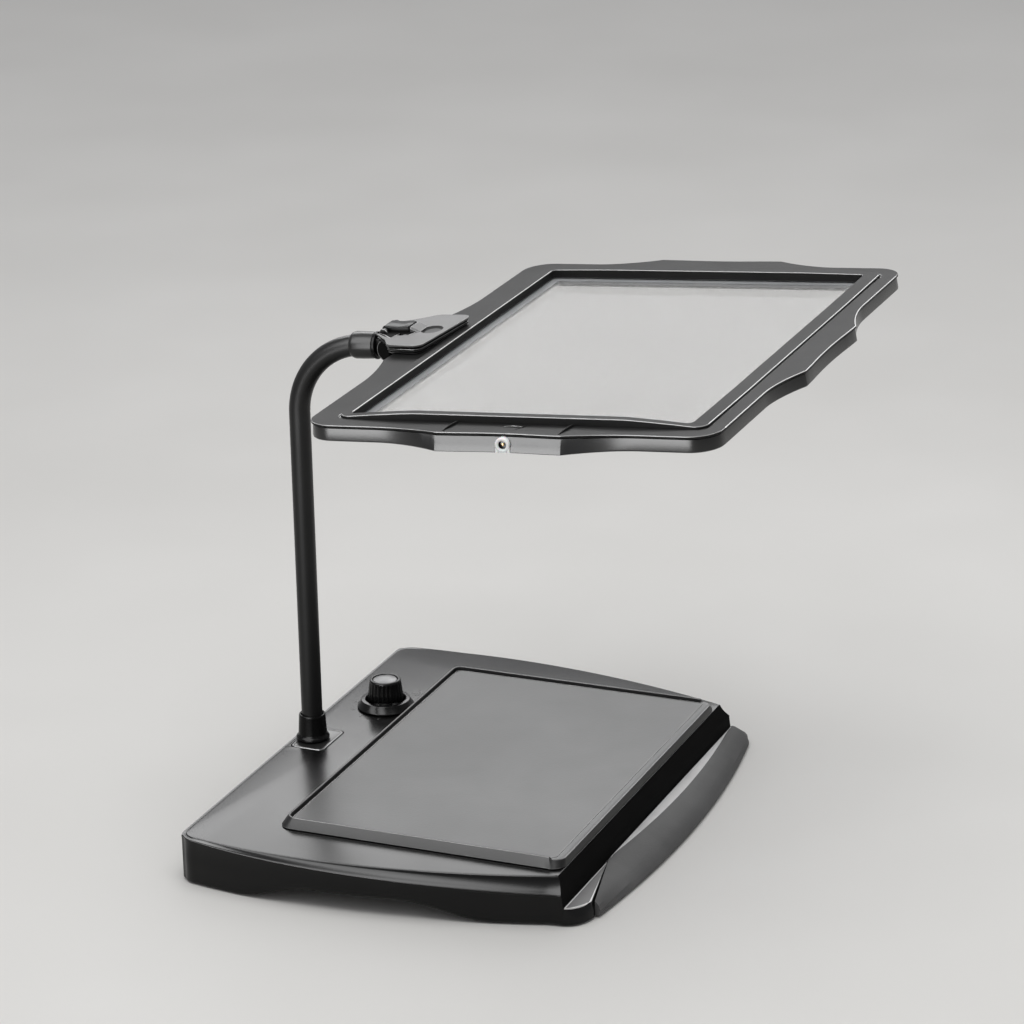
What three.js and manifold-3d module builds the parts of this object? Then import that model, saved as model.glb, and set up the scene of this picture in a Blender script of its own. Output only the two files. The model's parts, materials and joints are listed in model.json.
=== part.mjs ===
// Hands-free full-page magnifier: a framed flat lens on a bending neck over a reading tray.
// Millimetres. +X is the reader's right, +Y is away from the reader, +Z is up.
// The origin is on the table, under the middle of the whole object.
import * as THREE from 'three';
import { mergeVertices } from 'three/addons/utils/BufferGeometryUtils.js';
import { ConvexGeometry } from 'three/addons/geometries/ConvexGeometry.js';
import Module from 'manifold-3d';

const wasm = await Module();
wasm.setup();

// ---- driving dimensions ----
const GAP = 0.3; // between pieces that touch
const ORIGIN_TO_TRAY_Y = 28.46; // the tray's centre is this far behind the origin

const DECK_TOP = 24.5;
const DECK_THICKNESS = 2.5;
const SHELL_BOTTOM = 1;
const SHELL_WALL = 2.6;
const BASE_BACK_Y = 118.5;
const BASE_FRONT_Y = -76.5;
const BASE_BACK_HALF = 136;
const BASE_FRONT_HALF = 116;
const BASE_CORNER = 9;
const SKIRT_FLARE_BACK = 2.5; // how far the lower wall stands out at the back corners
const SKIRT_FLARE_FRONT = 5; // and at the front corners
const SKIRT_EDGE_BACK = 24; // height of the flared wall's upper edge at the back
const SKIRT_EDGE_FRONT = 15; // and at the front
const COVER_BOTTOM = 10.8;
const COVER_TOP = 12.8;
const FOOT_HEIGHT = 2;
const FOOT_RADIUS = 7;
const FEET = [[-112, 94], [112, 94], [-97, -62], [97, -62]];
const BASE_SCREWS = [[-90, 100], [90, 100], [-104, -30], [104, -30]];

const TRAY_WIDTH = 219; // the tray holds an A5 sheet or an open paperback
const TRAY_DEPTH = 151;
const TRAY_CORNER = 7;
const TRAY_RIM_TOP = 30;
const TRAY_FLOOR = 28.5;
const TRAY_RIM = 3.5;

const LEDGE_Z = 10;
const LEDGE_Y = -80.6;
const BUMPER_LEFT_X = -60;
const BUMPER_RIGHT_X = 121;
const BUMPER_TOP_DEPTH = 9;
const BUMPER_TIP = [-105.5, -91.4]; // its pointed left end, beside the flat step
const FRONT_BOTTOM_Y = -101.5;

const KNOB_X = 53.5;
const KNOB_Y = 91.5;
const KNOB_TOP = 40.5;
const KNOB_BOTTOM = 29.6;
const BEZEL_TOP = 29.3;

const NECK_Y = 109.5;
const NECK_PLATE_Y = 107;
const NECK_RADIUS = 5.5;
const NECK_BEND_RADIUS = 40;
const NECK_START_Z = 19;
const NECK_SEGMENTS = 7;
const LEAD_RADIUS = 1.5;
const LEAD_BORE = 2.1;
const COLLAR_TOP = 39;
const NECK_NUT_BACK_Y = 116.4;

const LENS_TILT = THREE.MathUtils.degToRad(-4.4); // the reader's edge of the lens stands higher
const LENS_CENTRE_Y = -67.4;
const LENS_TOP_Z = 259.9;
const OPENING_WIDTH = 255;
const OPENING_DEPTH = 175;
const FRAME_HALF_X = 143;
const FRAME_HALF_Y = 103.5;
const FRAME_SHIFT = 2.5; // the frame's outline sits this far behind the lens centre
const FRAME_CORNER = 14;
const SIDE_BULGE = 11; // how far each edge swells in its middle
const BACK_BULGE = 5.5;
const FRONT_BULGE = 8.5;
const FRAME_PLATE = -1.2;
const FRAME_BOTTOM = -7.2;
const LENS_TOP = -3.8;
const LENS_BOTTOM = -5.4;
const PIVOT_V = 122.5; // tilt pivot, behind the lens centre
const PIVOT_H = -4; // and below the frame's top face
const NECK_END_V = 133.4;
const LATCH_PIN = [124.2, 5.6];
const FRAME_SCREWS = [[-134, -91.5], [134, -91.5], [134, 93], [-134, 93]];
const LIGHT_U = 137;
const LIGHT_LENGTH = 96;
const JACK_U = -FRAME_HALF_X - SIDE_BULGE; // outer face of the frame at the power jack
const JACK_H = -4.3;

// ---- solids ----
function solidOf(geometry) {
  const bare = geometry.clone();
  bare.deleteAttribute('normal');
  bare.deleteAttribute('uv');
  const merged = mergeVertices(bare, 1e-4);
  const vertProperties = new Float32Array(merged.attributes.position.array);
  const triVerts = new Uint32Array(merged.index.array);
  return new wasm.Manifold(new wasm.Mesh({ numProp: 3, vertProperties, triVerts }));
}

function geometryOf(solid) {
  const mesh = solid.getMesh();
  const geometry = new THREE.BufferGeometry();
  geometry.setAttribute('position', new THREE.BufferAttribute(mesh.vertProperties, 3));
  geometry.setIndex(new THREE.BufferAttribute(mesh.triVerts, 1));
  return geometry;
}

function block(x0, x1, y0, y1, z0, z1) {
  const box = new THREE.BoxGeometry(x1 - x0, y1 - y0, z1 - z0);
  box.translate((x0 + x1) / 2, (y0 + y1) / 2, (z0 + z1) / 2);
  return solidOf(box);
}

// A round bar between two heights, its axis along 'x', 'y' or 'z' through the point given.
function bar(axis, radius, from, to, [a, b], sides = 24, endRadius = radius) {
  const round = new THREE.CylinderGeometry(endRadius, radius, to - from, sides);
  round.translate(0, (from + to) / 2, 0);
  if (axis === 'x') round.rotateZ(-Math.PI / 2).translate(0, a, b);
  if (axis === 'y') round.translate(a, 0, b);
  if (axis === 'z') round.rotateX(Math.PI / 2).translate(a, b, 0);
  return solidOf(round);
}

function slab(shape, z0, z1, curveSegments = 8) {
  const plate = new THREE.ExtrudeGeometry(shape, { depth: z1 - z0, bevelEnabled: false, curveSegments });
  plate.translate(0, 0, z0);
  return solidOf(plate);
}

function hull(points) {
  return solidOf(new ConvexGeometry(points.map(([x, y, z]) => new THREE.Vector3(x, y, z))));
}

// A closed body through rings of equally many points, with flat ends.
function loft(rings) {
  const count = rings[0].length;
  const positions = rings.flat().flatMap((point) => [point.x, point.y, point.z]);
  const index = [];
  for (let ring = 0; ring < rings.length - 1; ring += 1) {
    for (let i = 0; i < count; i += 1) {
      const a = ring * count + i;
      const b = ring * count + ((i + 1) % count);
      index.push(a, b, b + count, a, b + count, a + count);
    }
  }
  const last = (rings.length - 1) * count;
  const flat = (ring) => ring.map((point) => new THREE.Vector2(point.x, point.y));
  for (const [i, j, k] of THREE.ShapeUtils.triangulateShape(flat(rings[0]), [])) index.push(k, j, i);
  for (const [i, j, k] of THREE.ShapeUtils.triangulateShape(flat(rings.at(-1)), [])) {
    index.push(last + i, last + j, last + k);
  }
  const geometry = new THREE.BufferGeometry();
  geometry.setAttribute('position', new THREE.Float32BufferAttribute(positions, 3));
  geometry.setIndex(index);
  return solidOf(geometry);
}

function lathe(profile, x, y, sides = 32) {
  const points = profile.map(([radius, height]) => new THREE.Vector2(radius, height));
  const turned = new THREE.LatheGeometry([...points, points[0].clone()], sides);
  turned.rotateX(Math.PI / 2).translate(x, y, 0);
  return solidOf(turned);
}

// ---- outlines ----
function roundedRect(width, depth, radius, x = 0, y = 0) {
  const shape = new THREE.Shape();
  const [hx, hy] = [width / 2, depth / 2];
  shape.absarc(x + hx - radius, y + hy - radius, radius, 0, Math.PI / 2);
  shape.absarc(x - hx + radius, y + hy - radius, radius, Math.PI / 2, Math.PI);
  shape.absarc(x - hx + radius, y - hy + radius, radius, Math.PI, Math.PI * 1.5);
  shape.absarc(x + hx - radius, y - hy + radius, radius, Math.PI * 1.5, Math.PI * 2);
  return shape;
}

function polygon(points) {
  return new THREE.Shape(points.map(([x, y]) => new THREE.Vector2(x, y)));
}

// The deck's outline: straight back, bowed sides that narrow towards the reader, straight front.
function deckShape(inset = 0) {
  const shape = new THREE.Shape();
  const [back, front] = [BASE_BACK_Y - inset, BASE_FRONT_Y + inset];
  const [wide, narrow] = [BASE_BACK_HALF - inset, BASE_FRONT_HALF - inset];
  const corner = BASE_CORNER - inset / 2;
  shape.moveTo(narrow, front);
  shape.bezierCurveTo(wide + 1, -15, wide + 10, 55, wide, back - corner);
  shape.quadraticCurveTo(wide - 0.5, back, wide - corner, back);
  shape.lineTo(-wide + corner, back);
  shape.quadraticCurveTo(-wide + 0.5, back, -wide, back - corner);
  shape.bezierCurveTo(-wide - 10, 55, -wide - 1, -15, -narrow, front);
  return shape;
}

// The lens frame's outline: a rounded rectangle whose four sides swell in the middle.
function frameShape(inset = 0) {
  const [hx, hy] = [FRAME_HALF_X - inset, FRAME_HALF_Y - inset];
  const corner = FRAME_CORNER - inset;
  const sides = [
    { half: hy, along: 33, reach: 58, out: hx, swell: SIDE_BULGE },
    { half: hx, along: 38, reach: 72, out: hy, swell: BACK_BULGE },
    { half: hy, along: 33, reach: 58, out: hx, swell: SIDE_BULGE },
    { half: hx, along: 38, reach: 72, out: hy, swell: FRONT_BULGE },
  ];
  const shape = new THREE.Shape();
  for (let side = 0; side < 4; side += 1) {
    const { half, along, reach, out, swell } = sides[side];
    const angle = (side * Math.PI) / 2;
    const at = (s, t) => [
      t * Math.cos(angle) - s * Math.sin(angle),
      t * Math.sin(angle) + s * Math.cos(angle) + FRAME_SHIFT,
    ];
    const middle = (along + reach) / 2;
    const start = at(-half + corner, out);
    if (side === 0) shape.moveTo(...start);
    shape.lineTo(...at(-reach, out));
    shape.bezierCurveTo(...at(-middle, out), ...at(-middle, out + swell), ...at(-along, out + swell));
    shape.lineTo(...at(along, out + swell));
    shape.bezierCurveTo(...at(middle, out + swell), ...at(middle, out), ...at(reach, out));
    shape.lineTo(...at(half - corner, out));
    const [cx, cy] = at(half - corner, out - corner);
    shape.absarc(cx, cy, corner, angle, angle + Math.PI / 2);
  }
  return shape;
}

// ---- base ----
function baseRing(points, flared, heightAt) {
  return points.map(({ x, y }) => {
    const forward = THREE.MathUtils.clamp((BASE_BACK_Y - y) / (BASE_BACK_Y - BASE_FRONT_Y), 0, 1);
    const out = flared * THREE.MathUtils.lerp(SKIRT_FLARE_BACK, SKIRT_FLARE_FRONT, forward);
    let lean = 0;
    if (y < BASE_FRONT_Y + 1) lean = flared * (LEDGE_Y - BASE_FRONT_Y);
    if (y > BASE_BACK_Y - 1) lean = flared * SKIRT_FLARE_BACK * 0.5;
    return new THREE.Vector3(x + Math.sign(x) * out, y + lean, heightAt(forward));
  });
}

function baseShell() {
  const rim = deckShape().getPoints(14);
  if (rim[0].equals(rim.at(-1))) rim.pop();
  const edge = (forward) => THREE.MathUtils.lerp(SKIRT_EDGE_BACK, SKIRT_EDGE_FRONT, forward);
  const outside = loft([
    baseRing(rim, 1, () => SHELL_BOTTOM),
    baseRing(rim, 1, edge),
    baseRing(rim, 0, () => DECK_TOP),
  ]);
  let shell = outside.add(frontCorner());
  shell = shell.subtract(slab(deckShape(SHELL_WALL), SHELL_BOTTOM - 1, DECK_TOP - DECK_THICKNESS));
  for (const [x, y] of BASE_SCREWS) {
    const boss = bar('z', 4, COVER_TOP + GAP, DECK_TOP - 1, [x, y], 16);
    shell = shell.add(boss.subtract(bar('z', 1.5, COVER_TOP, 20, [x, y], 12)));
  }
  const arch = polygon([[-47, 0], [-32, 6], [0, 9.6], [50, 9.6], [70, 6], [86, 0]]);
  const tunnel = new THREE.ExtrudeGeometry(arch, { depth: 300, bevelEnabled: false });
  tunnel.rotateX(Math.PI / 2).rotateZ(Math.PI / 2).translate(-150, 0, 0);
  shell = shell.subtract(solidOf(tunnel));
  shell = shell.subtract(bar('z', 3.8, 20, 30, [KNOB_X, KNOB_Y]));
  shell = shell.subtract(bar('z', NECK_RADIUS + GAP, 20, 30, [0, NECK_Y]));
  shell = shell.subtract(block(-10, 10, 100, NECK_NUT_BACK_Y + GAP, COVER_BOTTOM, DECK_TOP - DECK_THICKNESS));
  return shell.subtract(slab(roundedRect(28.6, 19.6, 3.3, 0, NECK_PLATE_Y), DECK_TOP - 1.2, 30, 4));
}

// The flat three-cornered step beside the hand rest, at the reader's left.
function frontCorner() {
  const left = -BASE_FRONT_HALF - SKIRT_FLARE_FRONT;
  return hull([
    [left, LEDGE_Y + 3, LEDGE_Z], [BUMPER_LEFT_X, LEDGE_Y + 3, LEDGE_Z],
    [left, LEDGE_Y + 1, LEDGE_Z], [BUMPER_LEFT_X, LEDGE_Y, LEDGE_Z], [-107, -90.3, LEDGE_Z - 1],
    [left, LEDGE_Y + 3, SHELL_BOTTOM], [BUMPER_LEFT_X, LEDGE_Y + 3, SHELL_BOTTOM],
    [left, -84, SHELL_BOTTOM], [-117, -88, SHELL_BOTTOM], [-109, -91.3, SHELL_BOTTOM],
    [BUMPER_LEFT_X, LEDGE_Y, SHELL_BOTTOM],
  ]);
}

// Front line of the hand rest at table level, a shallow arc.
function frontLine(x) {
  return FRONT_BOTTOM_Y + 13 * (x / 135) ** 2;
}

function frontBumper() {
  const points = [];
  const back = LEDGE_Y - GAP;
  const top = LEDGE_Z + 0.6;
  const middle = (BUMPER_LEFT_X + BUMPER_RIGHT_X) / 2;
  const half = (BUMPER_RIGHT_X - BUMPER_LEFT_X) / 2;
  for (let i = 0; i <= 12; i += 1) {
    const x = BUMPER_LEFT_X + 0.8 + ((2 * half - 0.8) * i) / 12;
    points.push([x, back - BUMPER_TOP_DEPTH * (1 - ((x - middle) / half) ** 2), top]);
  }
  for (let i = 0; i <= 14; i += 1) {
    const x = BUMPER_TIP[0] + ((126 - BUMPER_TIP[0]) * i) / 14;
    points.push([x, frontLine(x), SHELL_BOTTOM], [x, frontLine(x), SHELL_BOTTOM + 1.5]);
  }
  points.push([...BUMPER_TIP, LEDGE_Z - 0.8], [...BUMPER_TIP, SHELL_BOTTOM]);
  points.push([BUMPER_LEFT_X + 0.8, back, top], [BUMPER_RIGHT_X, back, top]);
  points.push([BUMPER_LEFT_X + 0.8, back, SHELL_BOTTOM], [BUMPER_RIGHT_X, back, SHELL_BOTTOM]);
  points.push([129, -85, SHELL_BOTTOM], [127, back, SHELL_BOTTOM]);
  return hull(points);
}

function baseCover() {
  let cover = slab(deckShape(SHELL_WALL + GAP), COVER_BOTTOM, COVER_TOP);
  for (const [x, y] of FEET) {
    cover = cover.add(bar('z', FOOT_RADIUS + 1.5, FOOT_HEIGHT + GAP, COVER_TOP - 1, [x, y]));
  }
  for (const [x, y] of BASE_SCREWS) cover = cover.subtract(bar('z', 1.6, 0, 20, [x, y], 12));
  return cover;
}

function screw(headRadius, headHeight, shankRadius, length) {
  return bar('z', headRadius, 0, headHeight, [0, 0], 16)
    .add(bar('z', shankRadius, headHeight - 0.5, headHeight + length, [0, 0], 10));
}

function tray() {
  const body = slab(roundedRect(TRAY_WIDTH, TRAY_DEPTH, TRAY_CORNER), DECK_TOP + GAP, TRAY_RIM_TOP, 6);
  const [width, depth] = [TRAY_WIDTH - 2 * TRAY_RIM, TRAY_DEPTH - TRAY_RIM + 20];
  const recess = roundedRect(width, depth, TRAY_CORNER - TRAY_RIM + 1, 0, -TRAY_RIM / 2 - 10);
  return body.subtract(slab(recess, TRAY_FLOOR, TRAY_RIM_TOP + 1, 5));
}

function counterweight() {
  return slab(roundedRect(176, 104, 6, 0, -6), COVER_TOP + GAP, COVER_TOP + GAP + 6, 4);
}

// ---- dimmer ----
function dimmerBoard() {
  return block(28, 84, 66, 103, COVER_TOP + GAP, COVER_TOP + GAP + 1.6);
}

function potBody() {
  const can = block(KNOB_X - 6, KNOB_X + 6, KNOB_Y - 6, KNOB_Y + 6, 15, 21.6);
  const bush = bar('z', 3.5, 20, 27.5, [KNOB_X, KNOB_Y]);
  return can.add(bush).subtract(bar('z', 3.3, 15.6, 30, [KNOB_X, KNOB_Y]));
}

function potShaft() {
  const shaft = bar('z', 3, 16, 36.5, [KNOB_X, KNOB_Y], 20);
  return shaft.subtract(block(KNOB_X - 4, KNOB_X + 4, KNOB_Y + 1.8, KNOB_Y + 4, 30, 40));
}

function knobBezel() {
  const foot = DECK_TOP + GAP;
  const profile = [[5, foot], [15.4, foot], [15.4, foot + 0.7], [13, BEZEL_TOP], [5, BEZEL_TOP]];
  return lathe(profile, KNOB_X, KNOB_Y, 36);
}

function knob() {
  const outline = new THREE.Shape();
  const [ribs, steps] = [24, 4];
  for (let i = 0; i < ribs * steps; i += 1) {
    const angle = (i / (ribs * steps)) * Math.PI * 2;
    const radius = 9.3 - 0.35 * Math.cos(angle * ribs);
    const point = [KNOB_X + radius * Math.cos(angle), KNOB_Y + radius * Math.sin(angle)];
    if (i === 0) outline.moveTo(...point);
    else outline.lineTo(...point);
  }
  const profile = [[0, KNOB_BOTTOM], [9.8, KNOB_BOTTOM], [8.5, KNOB_TOP - 1], [7.7, KNOB_TOP], [0, KNOB_TOP]];
  const cone = lathe(profile, KNOB_X, KNOB_Y, 48);
  return slab(outline, KNOB_BOTTOM, KNOB_TOP).intersect(cone)
    .subtract(bar('z', 6.5, KNOB_TOP - 1.2, KNOB_TOP + 1, [KNOB_X, KNOB_Y], 32))
    .subtract(bar('z', 3.3, KNOB_BOTTOM - 1, 37, [KNOB_X, KNOB_Y], 20));
}

function knobCap() {
  return bar('z', 6.2, KNOB_TOP - 0.9, KNOB_TOP - 0.3, [KNOB_X, KNOB_Y], 32);
}

// ---- neck ----
// The neck's centre line: straight up, then round to the lens frame's own slope.
const bendAngle = Math.PI / 2 + LENS_TILT;
const bendEndY = NECK_Y - NECK_BEND_RADIUS * (1 - Math.cos(bendAngle));
const frameSlope = new THREE.Vector3(0, Math.cos(LENS_TILT), Math.sin(LENS_TILT));
const frameNormal = new THREE.Vector3(0, -Math.sin(LENS_TILT), Math.cos(LENS_TILT));
const lensCentre = new THREE.Vector3(0, LENS_CENTRE_Y, LENS_TOP_Z);
const neckAxis = lensCentre.clone().addScaledVector(frameNormal, PIVOT_H);
const bendEndV = (bendEndY - neckAxis.y) / frameSlope.y;
const bendEndZ = neckAxis.z + bendEndV * frameSlope.z;
const bendStartZ = bendEndZ - NECK_BEND_RADIUS * Math.sin(bendAngle);
const straightLength = bendStartZ - NECK_START_Z;
const bendLength = NECK_BEND_RADIUS * bendAngle;
const neckLength = straightLength + bendLength + (bendEndV - NECK_END_V);

// Point and direction of the neck's centre line at a distance from its lower end.
function neckAt(distance) {
  if (distance <= straightLength) {
    return { point: new THREE.Vector3(0, NECK_Y, NECK_START_Z + distance), turn: 0 };
  }
  const turn = Math.min((distance - straightLength) / NECK_BEND_RADIUS, bendAngle);
  const point = new THREE.Vector3(0, NECK_Y - NECK_BEND_RADIUS * (1 - Math.cos(turn)),
    bendStartZ + NECK_BEND_RADIUS * Math.sin(turn));
  const beyond = distance - straightLength - bendLength;
  if (beyond > 0) point.addScaledVector(frameSlope, -beyond);
  return { point, turn };
}

// A round bar that follows the neck's centre line between two distances along it.
function alongNeck(radius, from, to, sides) {
  const stations = [from];
  const firstBend = Math.max(from, straightLength);
  const lastBend = Math.min(to, straightLength + bendLength);
  const steps = Math.max(0, Math.ceil((lastBend - firstBend) / 6));
  for (let i = 0; i <= steps && steps > 0; i += 1) {
    stations.push(firstBend + ((lastBend - firstBend) * i) / steps);
  }
  stations.push(to);
  const rings = stations.filter((s, i) => i === 0 || s - stations[i - 1] > 0.01).map((s) => {
    const { point, turn } = neckAt(s);
    return Array.from({ length: sides }, (_, i) => {
      const angle = (i / sides) * Math.PI * 2;
      const offset = new THREE.Vector3(radius * Math.cos(angle), radius * Math.sin(angle), 0);
      return offset.applyAxisAngle(new THREE.Vector3(1, 0, 0), turn).add(point);
    });
  });
  return sweep(rings);
}

// Like loft, for rings that are not level: each end is closed with a fan round its first point.
function sweep(rings) {
  const count = rings[0].length;
  const positions = rings.flat().flatMap((point) => [point.x, point.y, point.z]);
  const index = [];
  for (let ring = 0; ring < rings.length - 1; ring += 1) {
    for (let i = 0; i < count; i += 1) {
      const a = ring * count + i;
      const b = ring * count + ((i + 1) % count);
      index.push(a, b, b + count, a, b + count, a + count);
    }
  }
  const last = (rings.length - 1) * count;
  for (let i = 1; i < count - 1; i += 1) {
    index.push(0, i + 1, i);
    index.push(last, last + i, last + i + 1);
  }
  const geometry = new THREE.BufferGeometry();
  geometry.setAttribute('position', new THREE.Float32BufferAttribute(positions, 3));
  geometry.setIndex(index);
  return solidOf(geometry);
}

const FIRST_JOINT = COLLAR_TOP + 26 - NECK_START_Z;
const LAST_JOINT = neckLength - 36;
const jointSpacing = (LAST_JOINT - FIRST_JOINT) / (NECK_SEGMENTS - 2);
const jointDistances = Array.from({ length: NECK_SEGMENTS - 1 }, (_, i) => FIRST_JOINT + i * jointSpacing);

function ball(radius, point) {
  const sphere = new THREE.SphereGeometry(radius, 16, 12);
  sphere.rotateX(Math.PI / 2).translate(point.x, point.y, point.z);
  return solidOf(sphere);
}

// One link of the neck: a tube with a ball at its upper end and a cup at its lower end.
function neckLink(number) {
  const from = number === 1 ? 0 : jointDistances[number - 2];
  const to = number === NECK_SEGMENTS ? neckLength : jointDistances[number - 1];
  let link = alongNeck(NECK_RADIUS, from, to, 16);
  if (number < NECK_SEGMENTS) link = link.add(ball(NECK_RADIUS, neckAt(to).point));
  const bore = alongNeck(LEAD_BORE, Math.max(from - 8, -8), to + 8, 10);
  if (number > 1) link = link.subtract(ball(NECK_RADIUS + GAP, neckAt(from).point));
  return link.subtract(bore);
}

// The lead inside one link; the first length also runs through the base to the dimmer board.
function leadLength(number) {
  const from = number === 1 ? 0 : jointDistances[number - 2] + NECK_RADIUS + 0.6;
  const to = number === NECK_SEGMENTS ? neckLength - 1 : jointDistances[number - 1] + NECK_RADIUS - 0.1;
  if (number > 1) return alongNeck(LEAD_RADIUS, from, to, 8);
  const route = new THREE.CatmullRomCurve3([
    [26, 96, 16], [18, 101, 15.8], [9, NECK_Y - 2, 15.2], [2, NECK_Y, 16.2], [0, NECK_Y, 20], [0, NECK_Y, 30],
  ].map(([x, y, z]) => new THREE.Vector3(x, y, z)), false, 'centripetal');
  const section = new THREE.Shape().absarc(0, 0, LEAD_RADIUS, 0, Math.PI * 2);
  const options = { steps: 18, curveSegments: 8, extrudePath: route, bevelEnabled: false };
  return solidOf(new THREE.ExtrudeGeometry(section, options)).add(alongNeck(LEAD_RADIUS, 8, to, 8));
}

function neckPlate() {
  const plate = slab(roundedRect(28, 19, 3, 0, NECK_PLATE_Y), DECK_TOP - 0.9, DECK_TOP + 0.4, 4);
  return plate.subtract(bar('z', NECK_RADIUS + GAP, 20, 30, [0, NECK_Y]));
}

function neckCollar() {
  const foot = DECK_TOP + 0.4 + GAP;
  const bore = NECK_RADIUS + GAP;
  return lathe([[bore, foot], [8.8, foot], [8.8, foot + 1.6], [7.6, foot + 2.6], [6.9, COLLAR_TOP],
    [bore, COLLAR_TOP]], 0, NECK_Y, 28);
}

function neckNut() {
  const nut = bar('z', 8.2, 19.4, 21.7, [0, NECK_Y], 6);
  return nut.intersect(block(-20, 20, 90, NECK_NUT_BACK_Y, 10, 30))
    .subtract(bar('z', NECK_RADIUS + GAP, 10, 30, [0, NECK_Y]));
}

// ---- lens head, in the lens frame's own axes: u right, v away from the reader, h up ----
function frameTop() {
  const opening = roundedRect(OPENING_WIDTH, OPENING_DEPTH, 2.5);
  const seat = roundedRect(OPENING_WIDTH + 4, OPENING_DEPTH + 4, 4.5);
  let top = slab(frameShape(), FRAME_PLATE, 0, 6).add(slab(seat, LENS_TOP + GAP, 1.6, 3));
  for (const [u, v] of FRAME_SCREWS) top = top.add(bar('z', 3.6, -3.3, -1, [u, v], 14));
  top = top.subtract(slab(opening, -10, 5, 3));
  for (const [u, v] of FRAME_SCREWS) top = top.subtract(bar('z', 1.4, -5, -0.8, [u, v], 10));
  return top;
}

function frameBottom() {
  let bottom = slab(frameShape(0.8), FRAME_BOTTOM, FRAME_PLATE - GAP, 6);
  bottom = bottom.subtract(slab(frameShape(2.8), LENS_BOTTOM - GAP, 0, 6));
  for (const [u, v] of FRAME_SCREWS) {
    bottom = bottom.add(bar('z', 3.8, -6.5, -3.6, [u, v], 14));
    bottom = bottom.subtract(bar('z', 1.5, -10, 0, [u, v], 10)).subtract(bar('z', 2.8, -9, -5.5, [u, v], 16));
  }
  bottom = bottom.subtract(slab(roundedRect(OPENING_WIDTH, OPENING_DEPTH, 2.5), -10, 5, 3));
  for (const side of [-1, 1]) {
    const window = roundedRect(6, LIGHT_LENGTH, 1, side * LIGHT_U, 0);
    bottom = bottom.subtract(slab(window, -10, LENS_BOTTOM - 0.1, 3));
  }
  bottom = bottom.subtract(bar('x', 3.1, JACK_U - 1, JACK_U + 4, [0, JACK_H], 20));
  return bottom.subtract(block(JACK_U - 1, JACK_U + 3.1, -3.1, 3.1, -10, JACK_H));
}

function lens() {
  return slab(roundedRect(OPENING_WIDTH + 6, OPENING_DEPTH + 6, 4), LENS_BOTTOM, LENS_TOP, 3);
}

function lightBoard(side) {
  const u = side * LIGHT_U;
  const half = LIGHT_LENGTH / 2 + 4;
  return block(u - 3.5, u + 3.5, -half, half, LENS_BOTTOM, LENS_BOTTOM + 1.2);
}

function diffuser(side) {
  const window = roundedRect(6 - 2 * GAP, LIGHT_LENGTH - 2 * GAP, 0.8, side * LIGHT_U, 0);
  return slab(window, FRAME_BOTTOM, LENS_BOTTOM - GAP - 0.2, 3);
}

function powerJack() {
  const face = JACK_U + 0.8;
  return block(face + 2.3, face + 11.5, -4.5, 4.5, LENS_BOTTOM, -1.6)
    .add(bar('x', 2.75, face - 0.2, face + 2.8, [0, JACK_H], 20))
    .subtract(bar('x', 1.75, face - 1, face + 9, [0, JACK_H], 16));
}

function jackPin() {
  const face = JACK_U + 0.8;
  return bar('x', 0.65, face + 1, face + 8.6, [0, JACK_H], 10);
}

function frameScrew() {
  return screw(2.4, 1.3, 1.1, 4.6);
}

function clipOutline(inset) {
  const [front, wide, rear] = [91 + inset, 27 - inset, 129.2 - inset];
  return polygon([[-wide, front], [wide, front], [wide - 1, 108], [19 - inset, 116], [9 - inset, rear],
    [-9 + inset, rear], [-19 + inset, 116], [-wide + 1, 108]]);
}

function clipBody() {
  const pad = slab(clipOutline(2), GAP, 2.5);
  const root = block(-8.5, 8.5, 112, PIVOT_V, PIVOT_H - 6.5, PIVOT_H + 6.5);
  const ears = bar('x', 6.5, -8.5, 8.5, [PIVOT_V, PIVOT_H], 28);
  const rearTrim = block(-30, 30, 128, 140, -12, 12);
  const slot = block(-4.4, 4.4, PIVOT_V - 6.1, 140, -12, 12);
  const pinHole = bar('x', 1.8, -10, 10, [PIVOT_V, PIVOT_H], 16);
  return pad.subtract(rearTrim).add(root).add(ears).subtract(slot).subtract(pinHole);
}

function clipCover() {
  let cover = slab(clipOutline(0), 2.5 + GAP, 5);
  for (const side of [-1, 1]) {
    const u = side * 7.8;
    cover = cover.add(block(u - 0.9, u + 0.9, LATCH_PIN[0] - 2.4, LATCH_PIN[0] + 2.4, 4, 7.2));
  }
  const scoop = new THREE.SphereGeometry(1, 20, 12);
  scoop.scale(7.2, 5.6, 1.5).translate(0, 101, 5);
  return cover.subtract(solidOf(scoop))
    .subtract(block(-6.1, 6.1, 110.6, 127.1, 0, 6))
    .subtract(bar('x', 1.2, -10, 10, LATCH_PIN, 12));
}

function latchLever() {
  const [v, h] = LATCH_PIN;
  const side = polygon([[111.2, 5], [113, 3.3], [v + 1.6, 3.3], [v + 2.4, 4.5], [v + 2.4, 6.6], [v + 1.2, 7.9],
    [112.8, 7.9], [111.2, 7]]);
  const lever = new THREE.ExtrudeGeometry(side, { depth: 11.2, bevelEnabled: false });
  lever.rotateX(Math.PI / 2).rotateZ(Math.PI / 2).translate(-5.6, 0, 0);
  return solidOf(lever).subtract(bar('x', 1.25, -10, 10, [v, h], 12));
}

function latchPin() {
  return bar('x', 0.9, -8.6, 8.6, LATCH_PIN, 12);
}

function tiltPin() {
  return bar('x', 1.5, -8.4, 8.4, [PIVOT_V, PIVOT_H], 16);
}

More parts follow.
